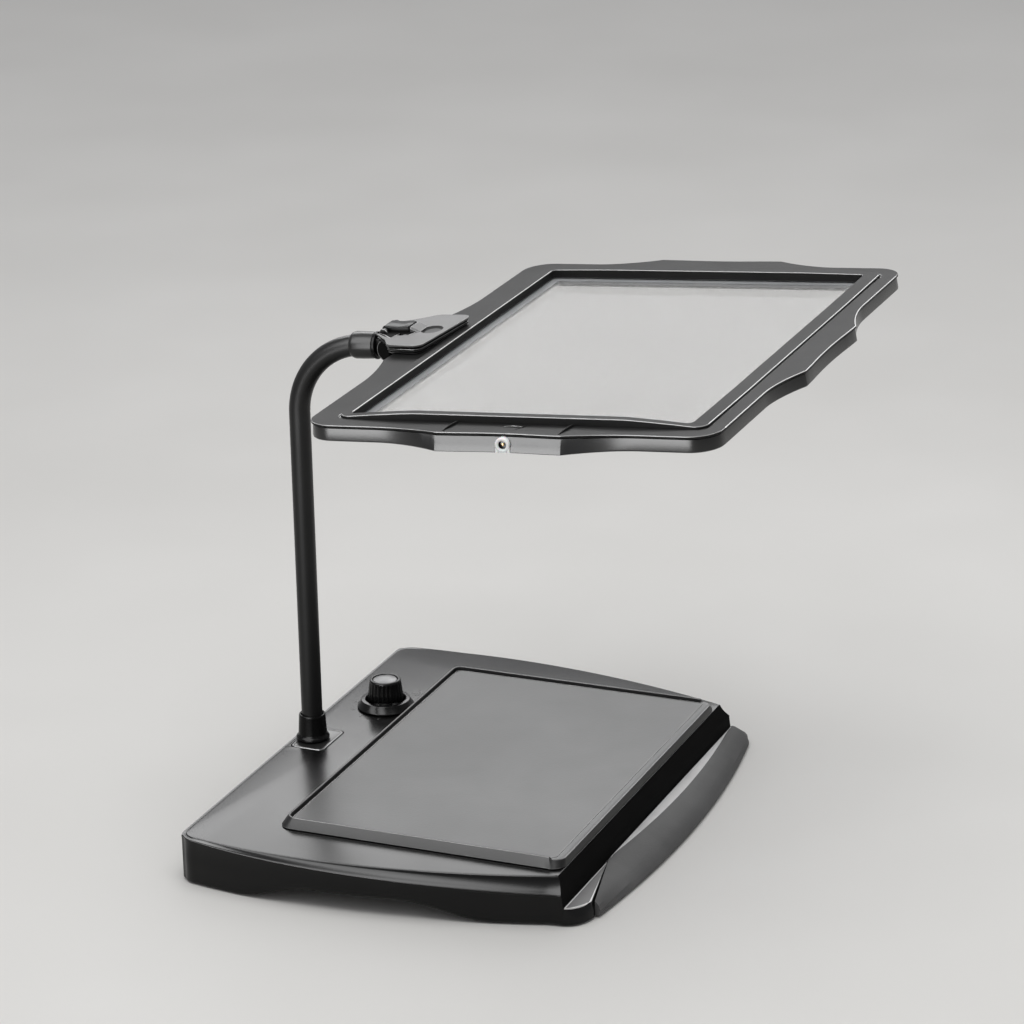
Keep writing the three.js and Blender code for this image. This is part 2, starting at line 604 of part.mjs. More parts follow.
function tiltKnuckle() {
  const eye = bar('x', 5.6, -4, 4, [PIVOT_V, PIVOT_H], 24);
  const tongue = block(-4, 4, PIVOT_V, 132, PIVOT_H - 4.4, PIVOT_H + 4.4);
  const ring = bar('y', 6.6, PIVOT_V + 9.5, 132.9, [0, PIVOT_H], 24);
  return eye.add(tongue).add(ring).subtract(bar('x', 1.8, -10, 10, [PIVOT_V, PIVOT_H], 16));
}

function neckFerrule() {
  const sleeve = bar('y', 6.6, 133.2, 146, [0, PIVOT_H], 24, 7.2);
  return sleeve.subtract(bar('y', NECK_RADIUS + GAP + 0.1, 130, 150, [0, PIVOT_H], 24));
}

// ---- the object ----
const group = new THREE.Group();
const base = new THREE.Group();
const lensHead = new THREE.Group();
base.position.y = ORIGIN_TO_TRAY_Y;
lensHead.position.copy(lensCentre);
lensHead.rotation.x = LENS_TILT;
base.add(lensHead);
group.add(base);

const looks = {
  satinBlack: { color: 0x1b1b1c, roughness: 0.32, metalness: 0 },
  trayBlack: { color: 0x2a2a2b, roughness: 0.38, metalness: 0 },
  softGrip: { color: 0x2d2c2b, roughness: 0.75, metalness: 0 },
  neckSleeve: { color: 0x151515, roughness: 0.45, metalness: 0 },
  frameGrey: { color: 0x333232, roughness: 0.4, metalness: 0 },
  clipGrey: { color: 0x6d6d6c, roughness: 0.4, metalness: 0 },
  capGrey: { color: 0xa8a8a6, roughness: 0.5, metalness: 0 },
  rubber: { color: 0x111111, roughness: 0.9, metalness: 0 },
  steel: { color: 0x8c8c8c, roughness: 0.4, metalness: 1 },
  brass: { color: 0xb58b45, roughness: 0.3, metalness: 1 },
  board: { color: 0x1f5c38, roughness: 0.6, metalness: 0 },
  white: { color: 0xe9e8e4, roughness: 0.5, metalness: 0 },
  clear: { color: 0xf4f6f7, roughness: 0.05, metalness: 0, transparent: true, opacity: 0.25 },
};

function place(parent, name, look, solid, position = [0, 0, 0]) {
  const mesh = new THREE.Mesh(geometryOf(solid), new THREE.MeshStandardMaterial(looks[look]));
  mesh.name = name;
  mesh.position.set(...position);
  parent.add(mesh);
}

place(base, 'base_shell', 'satinBlack', baseShell());
place(base, 'front_bumper', 'softGrip', frontBumper());
place(base, 'base_cover', 'satinBlack', baseCover());
place(base, 'tray', 'trayBlack', tray());
place(base, 'counterweight', 'steel', counterweight());
FEET.forEach((point, i) => {
  place(base, `foot_${i + 1}`, 'rubber', bar('z', FOOT_RADIUS, 0, FOOT_HEIGHT, point));
});
BASE_SCREWS.forEach(([x, y], i) => {
  place(base, `base_screw_${i + 1}`, 'steel', screw(3, 1.5, 1.2, 7.6), [x, y, COVER_BOTTOM - 1.8]);
});

place(base, 'dimmer_board', 'board', dimmerBoard());
place(base, 'pot_body', 'steel', potBody());
place(base, 'pot_shaft', 'steel', potShaft());
place(base, 'knob_bezel', 'satinBlack', knobBezel());
place(base, 'knob', 'satinBlack', knob());
place(base, 'knob_cap', 'capGrey', knobCap());

place(base, 'neck_plate', 'satinBlack', neckPlate());
place(base, 'neck_collar', 'satinBlack', neckCollar());
place(base, 'neck_nut', 'steel', neckNut());
for (let number = 1; number <= NECK_SEGMENTS; number += 1) {
  place(base, `neck_link_${number}`, 'neckSleeve', neckLink(number));
  place(base, `lead_${number}`, 'rubber', leadLength(number));
}

place(lensHead, 'neck_ferrule', 'satinBlack', neckFerrule());
place(lensHead, 'tilt_knuckle', 'satinBlack', tiltKnuckle());
place(lensHead, 'tilt_pin', 'steel', tiltPin());
place(lensHead, 'clip_body', 'satinBlack', clipBody());
place(lensHead, 'clip_cover', 'clipGrey', clipCover());
place(lensHead, 'latch_lever', 'satinBlack', latchLever());
place(lensHead, 'latch_pin', 'steel', latchPin());
place(lensHead, 'frame_top', 'frameGrey', frameTop());
place(lensHead, 'frame_bottom', 'frameGrey', frameBottom());
place(lensHead, 'page_lens', 'clear', lens());
[['left', -1], ['right', 1]].forEach(([name, side]) => {
  place(lensHead, `light_board_${name}`, 'board', lightBoard(side));
  place(lensHead, `light_window_${name}`, 'white', diffuser(side));
});
place(lensHead, 'power_jack', 'white', powerJack());
place(lensHead, 'jack_pin', 'brass', jackPin());
FRAME_SCREWS.forEach(([u, v], i) => {
  place(lensHead, `frame_screw_${i + 1}`, 'steel', frameScrew(), [u, v, FRAME_BOTTOM + 0.1]);
});

export default group;
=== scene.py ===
"""Hands-free full-page magnifier: a framed flat lens on a bending neck over a reading tray.

Shapes are worked out in millimetres and turned into metres when a piece is made.
+X is the reader's right, +Y is away from the reader, +Z is up.
"""
import json
import math

import bmesh
import bpy
from mathutils import Matrix, Vector

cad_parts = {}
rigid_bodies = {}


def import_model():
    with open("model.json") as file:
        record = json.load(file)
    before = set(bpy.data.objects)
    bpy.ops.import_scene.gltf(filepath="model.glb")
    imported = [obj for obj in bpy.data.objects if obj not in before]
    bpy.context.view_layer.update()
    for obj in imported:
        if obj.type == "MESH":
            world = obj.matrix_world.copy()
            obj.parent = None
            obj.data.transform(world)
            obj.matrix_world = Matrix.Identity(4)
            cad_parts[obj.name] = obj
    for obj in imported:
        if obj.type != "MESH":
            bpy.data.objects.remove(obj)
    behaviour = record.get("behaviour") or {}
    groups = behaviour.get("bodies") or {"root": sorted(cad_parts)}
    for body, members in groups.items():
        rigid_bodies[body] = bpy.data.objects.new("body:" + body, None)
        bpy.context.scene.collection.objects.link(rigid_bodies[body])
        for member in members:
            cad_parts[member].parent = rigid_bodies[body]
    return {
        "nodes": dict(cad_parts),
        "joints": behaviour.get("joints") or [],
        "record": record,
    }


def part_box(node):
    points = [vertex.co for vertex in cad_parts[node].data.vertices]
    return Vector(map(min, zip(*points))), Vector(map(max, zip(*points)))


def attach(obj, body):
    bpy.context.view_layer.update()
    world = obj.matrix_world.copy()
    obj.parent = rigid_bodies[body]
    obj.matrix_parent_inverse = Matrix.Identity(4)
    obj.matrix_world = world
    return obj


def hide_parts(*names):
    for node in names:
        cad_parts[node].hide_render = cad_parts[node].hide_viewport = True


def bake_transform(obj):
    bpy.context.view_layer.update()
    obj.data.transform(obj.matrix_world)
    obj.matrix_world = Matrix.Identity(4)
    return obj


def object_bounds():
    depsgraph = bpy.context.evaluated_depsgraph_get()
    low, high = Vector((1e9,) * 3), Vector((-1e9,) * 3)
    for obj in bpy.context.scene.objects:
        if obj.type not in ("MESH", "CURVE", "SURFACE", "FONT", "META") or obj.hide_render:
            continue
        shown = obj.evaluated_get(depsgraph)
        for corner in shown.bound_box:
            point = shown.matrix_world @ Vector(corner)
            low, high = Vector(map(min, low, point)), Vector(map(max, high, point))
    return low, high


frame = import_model()
cad_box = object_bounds()

MM = 0.001


def node_box(node):
    """Lowest and highest corner of a CAD node, in millimetres."""
    low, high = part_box(node)
    return low / MM, high / MM


def node_centre(node):
    """Middle of a CAD node seen from above, in millimetres."""
    low, high = node_box(node)
    return (low.x + high.x) / 2, (low.y + high.y) / 2


def joint_point(name):
    """Where a joint's axis passes, in millimetres."""
    joint = next(j for j in frame["joints"] if j["name"] == name)
    return Vector(joint["pos_m"]) / MM


# ---- driving dimensions, from the frame where it has them ----
TRAY_LOW, TRAY_HIGH = node_box("tray")
SHELL_LOW, SHELL_HIGH = node_box("base_shell")
TRAY_Y = (TRAY_LOW.y + TRAY_HIGH.y) / 2
DECK_Z = SHELL_HIGH.z
FLOOR_Z = SHELL_LOW.z

DECK_BACK = 118.5  # from the tray's centre, as are the other base positions
DECK_FRONT = -76.5
DECK_BACK_HALF = 136
DECK_FRONT_HALF = 116
DECK_CORNER = 9
FLARE_BACK = 2.5
FLARE_FRONT = 5
RIDGE_BACK = 23.7
RIDGE_FRONT = 16.2
FLARE_REACH = 70  # the whole flare applies from this far out
ARCH_FRONT, ARCH_BACK = -47, 86
ARCH_TOP = 9.6
LEDGE_Z = 10
LEDGE_Y = -80.6
STRIP_LEFT = -60
STRIP_RIGHT = 121
STRIP_DEPTH = 6.4
TRAY_CORNER = 7
TRAY_FLOOR = 28.5

LENS_TILT = math.radians(-4.4)
OPENING = (255, 175)
FRAME_HALF = (143, 103.5)
FRAME_SHIFT = 2.5
FRAME_CORNER = 14
FRAME_BOTTOM = -8.0
FRAME_SPLIT = -1.2
PIVOT_V = 122.5
PIVOT_H = -4
LATCH_V = 124.2
LATCH_H = 5.6

NECK_RADIUS = 5.5
NECK_SIDES = 40

# The lens head's own axes (u right, v away from the reader, h up out of the lens frame).
HEAD_NORMAL = Vector((0, -math.sin(LENS_TILT), math.cos(LENS_TILT)))
HEAD_SLOPE = Vector((0, math.cos(LENS_TILT), math.sin(LENS_TILT)))
LENS_MIDDLE_H = -4.6
lens_low, lens_high = node_box("page_lens")
HEAD_ORIGIN = (lens_low + lens_high) / 2 - HEAD_NORMAL * LENS_MIDDLE_H
HEAD = Matrix((
    (1, 0, 0, HEAD_ORIGIN.x),
    (0, HEAD_SLOPE.y, HEAD_NORMAL.y, HEAD_ORIGIN.y),
    (0, HEAD_SLOPE.z, HEAD_NORMAL.z, HEAD_ORIGIN.z),
    (0, 0, 0, 1),
))
BASE = Matrix.Translation((0, TRAY_Y, 0))
WORLD = Matrix()
HEAD_BODIES = ("lens_head", "latch", "neck_7")


def mix(a, b, t):
    return a + (b - a) * t


def smooth(t):
    t = min(1.0, max(0.0, t))
    return t * t * (3 - 2 * t)


# ---- camera, floor and light ----
def add_camera():
    target = (cad_box[0] + cad_box[1]) / 2 + Vector((3.6, 22.7, 29.2)) * MM
    azimuth, elevation, roll = math.radians(-67.0), math.radians(19.6), math.radians(-1.3)
    distance = 2.023
    back = Vector((
        math.sin(azimuth) * math.cos(elevation),
        -math.cos(azimuth) * math.cos(elevation),
        math.sin(elevation),
    ))
    right = (-back).cross(Vector((0, 0, 1))).normalized()
    up = right.cross(-back)
    side = right * math.cos(roll) + up * math.sin(roll)
    top = up * math.cos(roll) - right * math.sin(roll)
    data = bpy.data.cameras.new("camera")
    data.sensor_width = 36
    data.lens = 140.625
    data.clip_end = 50
    camera = bpy.data.objects.new("camera", data)
    place = target + back * distance
    camera.matrix_world = Matrix((
        (side.x, top.x, back.x, place.x),
        (side.y, top.y, back.y, place.y),
        (side.z, top.z, back.z, place.z),
        (0, 0, 0, 1),
    ))
    bpy.context.scene.collection.objects.link(camera)
    bpy.context.scene.camera = camera


def add_softbox(name, place, aim, size, radiance, gloss_only=False):
    """A rectangular light. One that is gloss only shows in reflections and lights nothing else."""
    data = bpy.data.lights.new(name, "AREA")
    data.shape = "RECTANGLE"
    data.size, data.size_y = size
    data.energy = radiance * math.pi * size[0] * size[1]
    light = bpy.data.objects.new(name, data)
    light.location = place
    light.rotation_mode = "QUATERNION"
    light.rotation_quaternion = (Vector(aim) - Vector(place)).to_track_quat("-Z", "Y")
    light.visible_camera = False
    light.visible_transmission = False
    light.visible_diffuse = not gloss_only
    bpy.context.scene.collection.objects.link(light)


def add_surroundings():
    world = bpy.data.worlds.new("studio")
    world.use_nodes = True
    background = world.node_tree.nodes["Background"]
    background.inputs["Color"].default_value = (0.97, 0.975, 1.0, 1)
    background.inputs["Strength"].default_value = 0.45
    bpy.context.scene.world = world
    bpy.context.scene.view_settings.view_transform = "Standard"

    bm = bmesh.new()
    bmesh.ops.create_grid(bm, x_segments=2, y_segments=2, size=9)
    mesh = bpy.data.meshes.new("floor")
    bm.to_mesh(mesh)
    bm.free()
    floor = bpy.data.objects.new("floor", mesh)
    bpy.context.scene.collection.objects.link(floor)
    mesh.materials.append(floor_finish())

    add_softbox("top_light", (-0.2, -0.1, 1.7), (0, 0, 0.1), (1.5, 1.5), 2.7)
    add_softbox("far_card", (2.1, 0.85, 1.60), (0, 0, 0.1), (2.6, 1.3), 5.2, True)
    add_softbox("left_card", (-0.80, 0.20, 0.28), (-0.15, -0.05, 0.25), (0.60, 0.52), 9.5, True)
    add_softbox("edge_card", (-0.66, 0.45, 1.00), (0, 0, 0.1), (1.1, 0.9), 8.0, True)


def limit_card(name, dark):
    """Keeps a card's reflection off some things, so that it leaves no glare there from other sides."""
    receivers = bpy.data.collections.new(f"{name}_receivers")
    for thing in bpy.data.objects:
        if thing.type == "MESH" and thing.name not in dark:
            receivers.objects.link(thing)
    bpy.data.objects[name].light_linking.receiver_collection = receivers


# ---- materials ----
NOISE_LOW, NOISE_HIGH = 0.3, 0.7  # nearly all of a noise lies between these


class Finish:
    """A Principled material whose colour, roughness and normal vary over the surface."""

    def __init__(self, name, **constants):
        self.material = bpy.data.materials.new(name)
        self.material.use_nodes = True
        self.tree = self.material.node_tree
        self.shader = self.tree.nodes["Principled BSDF"]
        self.place = self.tree.nodes.new("ShaderNodeTexCoord").outputs["Object"]
        for socket, value in constants.items():
            self.shader.inputs[socket.replace("_", " ")].default_value = value

    def node(self, kind, **inputs):
        made = self.tree.nodes.new(kind)
        for socket, value in inputs.items():
            self.feed(made.inputs[socket], value)
        return made

    def feed(self, socket, value):
        if isinstance(value, bpy.types.NodeSocket):
            self.tree.links.new(value, socket)
        else:
            socket.default_value = value

    def noise(self, scale, detail=3.0, stretch=(1, 1, 1), distortion=0.0):
        mapped = self.node("ShaderNodeMapping", Vector=self.place, Scale=stretch)
        made = self.node("ShaderNodeTexNoise", Vector=mapped.outputs["Vector"], Scale=scale, Detail=detail,
                         Distortion=distortion)
        return made.outputs["Fac"]

    def between(self, value, low, high):
        made = self.node("ShaderNodeMapRange", **{
            "Value": value, "From Min": NOISE_LOW, "From Max": NOISE_HIGH, "To Min": low, "To Max": high,
        })
        return made.outputs["Result"]

    def tint(self, value, dark, light, socket="Base Color"):
        ramp = self.node("ShaderNodeValToRGB", Fac=value)
        stops = ((NOISE_LOW, dark), (NOISE_HIGH, light))
        for element, (position, colour) in zip(ramp.color_ramp.elements, stops):
            element.position = position
            element.color = (*colour, 1)
        self.feed(self.shader.inputs[socket], ramp.outputs["Color"])

    def bump(self, heights, distance=0.1 * MM):
        normal = None
        for height, strength in heights:
            made = self.node("ShaderNodeBump", Height=height, Strength=strength, Distance=distance)
            if normal:
                self.feed(made.inputs["Normal"], normal)
            normal = made.outputs["Normal"]
        self.feed(self.shader.inputs["Normal"], normal)

    def roughness(self, value):
        self.feed(self.shader.inputs["Roughness"], value)


def grey(value, warmth=0.0):
    return (value * (1 + warmth), value, value * (1 - warmth))


HANDLED = 0.02  # how much the roughness varies where hands rub


def moulded(name, shade, rough, grain, depth, specular):
    """Moulded plastic: a fine spark-eroded grain, faint flow mottling and rubbed, shinier patches."""
    made = Finish(name, Specular_IOR_Level=specular)
    mottle = made.noise(38, 4)
    made.tint(mottle, grey(shade * 0.85, 0.01), grey(shade * 1.18, 0.01))
    rubbed = made.noise(21, 5, distortion=0.6)
    made.roughness(made.between(rubbed, rough - HANDLED, rough + HANDLED))
    made.bump([(made.noise(grain, 2), depth), (made.noise(grain * 0.22, 2), depth * 0.35)])
    return made.material


def floor_finish():
    made = Finish("floor_paper", Specular_IOR_Level=0.2)
    made.tint(made.noise(3, 2), (0.70, 0.69, 0.665), (0.74, 0.73, 0.705))
    made.roughness(made.between(made.noise(9, 3), 0.75, 0.9))
    made.bump([(made.noise(260, 2), 0.1)])
    return made.material


def brushed_metal(name, colour, rough, stretch=(1, 30, 1)):
    made = Finish(name, Metallic=1.0)
    lines = made.noise(160, 3, stretch=stretch)
    made.tint(lines, tuple(c * 0.8 for c in colour), tuple(min(1, c * 1.15) for c in colour))
    made.roughness(made.between(lines, rough - 0.08, rough + 0.1))
    made.bump([(lines, 0.15)], 0.05 * MM)
    return made.material


def rubber_finish(name, shade):
    made = Finish(name, Specular_IOR_Level=0.35)
    made.tint(made.noise(120, 4), grey(shade * 0.8), grey(shade * 1.3))
    made.roughness(made.between(made.noise(60, 4), 0.72, 0.92))
    made.bump([(made.noise(700, 3), 0.5)])
    return made.material


def board_finish(name):
    """Solder mask with faint copper traces under it."""
    made = Finish(name, Specular_IOR_Level=0.5)
    traces = made.node("ShaderNodeTexVoronoi", Vector=made.place, Scale=260.0)
    traces.feature = "DISTANCE_TO_EDGE"
    made.tint(traces.outputs["Distance"], (0.05, 0.22, 0.09), (0.015, 0.10, 0.045))
    made.roughness(made.between(made.noise(90, 2), 0.3, 0.45))
    made.bump([(traces.outputs["Distance"], 0.3)], 0.05 * MM)
    return made.material


def lens_finish(name, border):
    """Clear acrylic, or the same sheet left frosted at its border, where its pale grey tint is a painted
    reflection of the frame's inner wall.
    """
    made = Finish(name, IOR=1.2, Specular_IOR_Level=0.1, Alpha=1.0 if border else 0.3)
    made.shader.inputs["Transmission Weight"].default_value = 0.55 if border else 1.0
    haze = made.noise(30, 3)
    if border:
        made.tint(haze, (0.50, 0.51, 0.52), (0.60, 0.61, 0.62))
        made.roughness(made.between(made.noise(80, 3), 0.35, 0.5))
        made.bump([(made.noise(900, 2), 0.3)])
    else:
        made.tint(haze, (0.985, 0.99, 0.995), (1.0, 1.0, 1.0))
        made.roughness(made.between(made.noise(50, 3), 0.0, 0.015))
        made.bump([(made.noise(300, 2), 0.02)], 0.01 * MM)
    return made.material


def milky_finish(name, shade=0.8):
    made = Finish(name, Specular_IOR_Level=0.5, Subsurface_Weight=0.15, Subsurface_Scale=0.002)
    made.tint(made.noise(50, 3), grey(shade * 0.95, 0.02), grey(shade, 0.01))
    made.roughness(made.between(made.noise(110, 3), 0.35, 0.5))
    made.bump([(made.noise(600, 2), 0.2)])
    return made.material


def turned_finish(name, shade, centre):
    """The knob cap: concentric turning marks round its centre."""
    made = Finish(name, Metallic=0.15, Specular_IOR_Level=0.6)
    shifted = made.node("ShaderNodeMapping", Vector=made.place, Location=tuple(-c * MM for c in centre))
    rings = made.node("ShaderNodeTexWave", Vector=shifted.outputs["Vector"], Scale=700.0, Distortion=0.4)
    rings.wave_type, rings.rings_direction = "RINGS", "Z"
    made.tint(rings.outputs["Fac"], grey(shade * 0.9), grey(shade * 1.08))
    made.roughness(made.between(made.noise(150, 3), 0.35, 0.5))
    made.bump([(rings.outputs["Fac"], 0.25)], 0.03 * MM)
    return made.material


KNOB_LOW, KNOB_HIGH = node_box("knob")
KNOB_X, KNOB_Y = node_centre("knob")

PLASTICS = {
    # shade, roughness, size and depth of the grain, specular level
    "base_plastic": (0.004, 0.24, 1100, 0.10, 0.22),
    "tray_plastic": (0.010, 0.36, 800, 0.30, 0.32),
    "bumper_grip": (0.070, 0.60, 620, 0.8, 0.3),
    # pale strip on the hand rest and the step's edges: the pale colour is a painted highlight
    "bumper_painted_highlight": (0.58, 0.38, 700, 0.3, 0.5),
    "cover_plastic": (0.02, 0.6, 500, 0.6, 0.3),
    "knob_plastic": (0.004, 0.22, 1300, 0.08, 0.16),
    "neck_sleeve": (0.009, 0.36, 1000, 0.16, 0.24),
    "collar_plastic": (0.004, 0.26, 1100, 0.12, 0.1),
    "ferrule_satin": (0.02, 0.30, 1000, 0.2, 0.25),
    "frame_plastic": (0.015, 0.44, 850, 0.45, 0.045),
    "frame_gloss": (0.010, 0.24, 1000, 0.10, 0.5),
    "clip_grey": (0.11, 0.45, 850, 0.35, 0.24),
    "latch_plastic": (0.004, 0.30, 1000, 0.12, 0.10),
    # glossy bevels painted paler than the plastic: a painted highlight along edges
    "glossy_edge_painted_highlight": (0.09, 0.20, 1500, 0.05, 1.0),
    "shadow_black": (0.004, 0.6, 900, 0.2, 0.02),
    "scoop_satin": (0.045, 0.5, 1000, 0.15, 0.03),
    # pale strips laid along edges: painted highlight lines
    "painted_highlight_edge": (0.45, 0.30, 1500, 0.05, 0.8),
    "plate_satin": (0.02, 0.30, 1000, 0.15, 0.4),
    "mark_ink": (0.004, 0.5, 1500, 0.1, 0.5),
}
LOOKS = {name: moulded(name, *values) for name, values in PLASTICS.items()}
SPECIAL = {
    "knob_cap_grey": (turned_finish, 0.155, (KNOB_X, KNOB_Y, KNOB_HIGH.z)),
    "lens_clear": (lens_finish, False),
    "lens_border": (lens_finish, True),
    "light_window": (milky_finish,),
    "jack_white": (milky_finish, 0.9),
    "contact_brass": (brushed_metal, (0.80, 0.55, 0.25), 0.3, (20, 1, 1)),
    "steel": (brushed_metal, (0.55, 0.55, 0.56), 0.35),
    "foot_rubber": (rubber_finish, 0.02),
    "lead_sheath": (rubber_finish, 0.03),
    "board_green": (board_finish,),
}
LOOKS.update((name, maker(name, *values)) for name, (maker, *values) in SPECIAL.items())
SLOT_OF = {
    "bumper_painted_highlight": "bumper_grip",
    "ferrule_satin": "collar_plastic",
    "frame_gloss": "frame_plastic",
    "lens_border": "lens_clear",
    "mark_ink": "base_plastic",
    "painted_highlight_edge": "frame_plastic",
    "scoop_satin": "latch_plastic",
    "shadow_black": "latch_plastic",
    "plate_satin": "collar_plastic",
}


# ---- making pieces ----
def piece(name, bm, look, body=None, stands_for=(), place=None, bevel=0.0, segments=2, angle=40, cut=(),
          shine=False):
    """Turns a bmesh in millimetres into a finished piece that rides on a body.

    It stands in the lens head's axes or at the tray's centre, by its body, unless place says otherwise.
    """
    if place is None:
        place = HEAD if body in HEAD_BODIES else BASE
    bmesh.ops.remove_doubles(bm, verts=bm.verts, dist=0.001)
    bmesh.ops.dissolve_degenerate(bm, edges=bm.edges, dist=0.001)
    bmesh.ops.recalc_face_normals(bm, faces=bm.faces)
    bm.transform(Matrix.Scale(MM, 4) @ place)
    mesh = bpy.data.meshes.new(name)
    bm.to_mesh(mesh)
    bm.free()
    mesh.materials.append(LOOKS[look])
    made = bpy.data.objects.new(name, mesh)
    bpy.context.scene.collection.objects.link(made)
    for cutter in cut:
        subtract(made, cutter, place)
    for polygon in made.data.polygons:
        polygon.use_smooth = True
    if bevel:
        edges = made.modifiers.new("edges", "BEVEL")
        edges.width = bevel * MM
        edges.segments = segments
        edges.limit_method = "ANGLE"
        edges.angle_limit = math.radians(angle)
        edges.harden_normals = True
        # shine gives the bevel faces a glossy finish painted paler, a painted highlight along edges
        if shine:
            made.data.materials.append(LOOKS["glossy_edge_painted_highlight"])
            edges.material = 1
    else:
        made.data.set_sharp_from_angle(angle=math.radians(angle))
    if body:
        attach(made, body)
    if stands_for:
        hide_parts(*stands_for)
    SLOT_OF.get(look, look)
    return made


def subtract(made, cutter, place):
    """Cuts a closed bmesh, in millimetres, out of a piece."""
    bmesh.ops.recalc_face_normals(cutter, faces=cutter.faces)
    cutter.transform(Matrix.Scale(MM, 4) @ place)
    mesh = bpy.data.meshes.new("cutter")
    cutter.to_mesh(mesh)
    cutter.free()
    tool = bpy.data.objects.new("cutter", mesh)
    bpy.context.scene.collection.objects.link(tool)
    boolean = made.modifiers.new("cut", "BOOLEAN")
    boolean.object = tool
    boolean.operation = "DIFFERENCE"
    boolean.solver = "EXACT"
    bpy.context.view_layer.update()
    evaluated = made.evaluated_get(bpy.context.evaluated_depsgraph_get())
    result = bpy.data.meshes.new_from_object(evaluated)
    made.modifiers.clear()
    made.data = result
    bpy.data.objects.remove(tool)


def skin(rings, first=True, last=True):
    """A bmesh of faces between rings of equally many points, with flat caps at its ends."""
    bm = bmesh.new()
    rows = [[bm.verts.new(p) for p in ring] for ring in rings]
    count = len(rows[0])
    for a, b in zip(rows, rows[1:]):
        for i in range(count):
            j = (i + 1) % count
            bm.faces.new((a[i], a[j], b[j], b[i]))
    if first:
        bm.faces.new(rows[0][::-1])
    if last:
        bm.faces.new(rows[-1])
    return bm


def closed_skin(rings):
    """The same with its last ring joined to its first."""
    return skin([*rings, rings[0]], first=False, last=False)


def turned(profile, sides=48, centre=(0, 0), wave=None, axis="z"):
    """A body of revolution from (radius, height) pairs that end on the axis or close on themselves."""
    rings = []
    for radius, height in profile:
        ring = []
        for i in range(sides):
            angle = 2 * math.pi * i / sides
            r = radius + (wave(angle, radius, height) if wave else 0)
            x, y = r * math.cos(angle), r * math.sin(angle)
            if axis == "x":
                ring.append((height, centre[0] + x, centre[1] + y))
            elif axis == "y":
                ring.append((centre[0] + x, height, centre[1] + y))
            else:
                ring.append((centre[0] + x, centre[1] + y, height))
        rings.append(ring)
    hollow = profile[0][0] > 0
    return closed_skin(rings) if hollow else skin(rings, first=False, last=False)


def lift(outline, height):
    """A flat ring of points at one height."""
    return [(x, y, height) for x, y in outline]


def prism(outline, low, high):
    return skin([lift(outline, low), lift(outline, high)])


def box(x0, x1, y0, y1, z0, z1):
    return prism([(x0, y0), (x1, y0), (x1, y1), (x0, y1)], z0, z1)


def join(*parts):
    """One bmesh from several closed ones."""
    whole = bmesh.new()
    for part in parts:
        mesh = bpy.data.meshes.new("part")
        part.to_mesh(mesh)
        part.free()
        whole.from_mesh(mesh)
        bpy.data.meshes.remove(mesh)
    return whole


def bezier(p0, p1, p2, p3, count):
    points = []
    for i in range(count):
        t = i / count
        s = 1 - t
        weights = (s ** 3, 3 * s * s * t, 3 * s * t * t, t ** 3)
        points.append(tuple(sum(w * p[k] for w, p in zip(weights, (p0, p1, p2, p3))) for k in (0, 1)))
    return points


def rounded_rect(width, depth, radius, centre=(0, 0), arc=8, straight=1):
    """Counter-clockwise from the right end of the front edge, always with the same count of points."""
    def at(corner, turn):
        sx, sy, start = corner
        angle = math.radians(start + turn)
        return (centre[0] + sx * (width / 2 - radius) + radius * math.cos(angle),
                centre[1] + sy * (depth / 2 - radius) + radius * math.sin(angle))

    points = []
    corners = [(1, -1, -90), (1, 1, 0), (-1, 1, 90), (-1, -1, 180)]
    for corner, after in zip(corners, corners[1:] + corners[:1]):
        points += [at(corner, 90 * i / arc) for i in range(arc + 1)]
        here, end = points[-1], at(after, 0)
        for i in range(1, straight):
            points.append((mix(here[0], end[0], i / straight), mix(here[1], end[1], i / straight)))
    return points


# ---- base ----
def deck_outline(inset=0.0):
    """Straight back, bowed sides that narrow towards the reader, straight front."""
    back, front = DECK_BACK - inset, DECK_FRONT + inset
    wide, narrow = DECK_BACK_HALF - inset, DECK_FRONT_HALF - inset
    corner = DECK_CORNER - inset / 2
    right = bezier((narrow, front), (wide + 1, -15), (wide + 10, 55), (wide, back - corner), 64)
    c1 = (wide, back - corner)
    c2 = (wide - corner, back)
    knee = (wide - 0.5, back)
    third = 2 / 3
    bend = bezier(c1, tuple(mix(a, b, third) for a, b in zip(c1, knee)),
                  tuple(mix(a, b, third) for a, b in zip(c2, knee)), c2, 10)
    half = right + bend
    back_line = [(mix(wide - corner, -wide + corner, i / 24), back) for i in range(24)]
    other = [(-x, y) for x, y in [c2, *half[::-1]]]
    front_line = [(mix(-narrow, narrow, i / 32), front) for i in range(1, 32)]
    return half + back_line + other + front_line


def arch_height(y):
    """Height of the wall's lower edge, which lifts off the table between the feet."""
    rise = smooth((y - ARCH_FRONT) / 46) * smooth((ARCH_BACK - y) / 40)
    return mix(FLOOR_Z, ARCH_TOP, rise)


def forward(y):
    """0 at the back of the deck, 1 at its front."""
    return min(1.0, max(0.0, (DECK_BACK - y) / (DECK_BACK - DECK_FRONT)))


def base_wall_point(x, y, flare, drop):
    """A point of the base's skin: flare 0 to 1 outwards, drop 0 to 1 down the front slope."""
    out = flare * mix(FLARE_BACK, FLARE_FRONT, forward(y))
    side = max(-1.0, min(1.0, x / FLARE_REACH))
    lean = 0.0
    if y < DECK_FRONT + 1:
        lean = drop * (LEDGE_Y - DECK_FRONT)
    elif y > DECK_BACK - 1:
        lean = min(1.0, flare) * FLARE_BACK * 0.5
    return x + side * out, y + lean


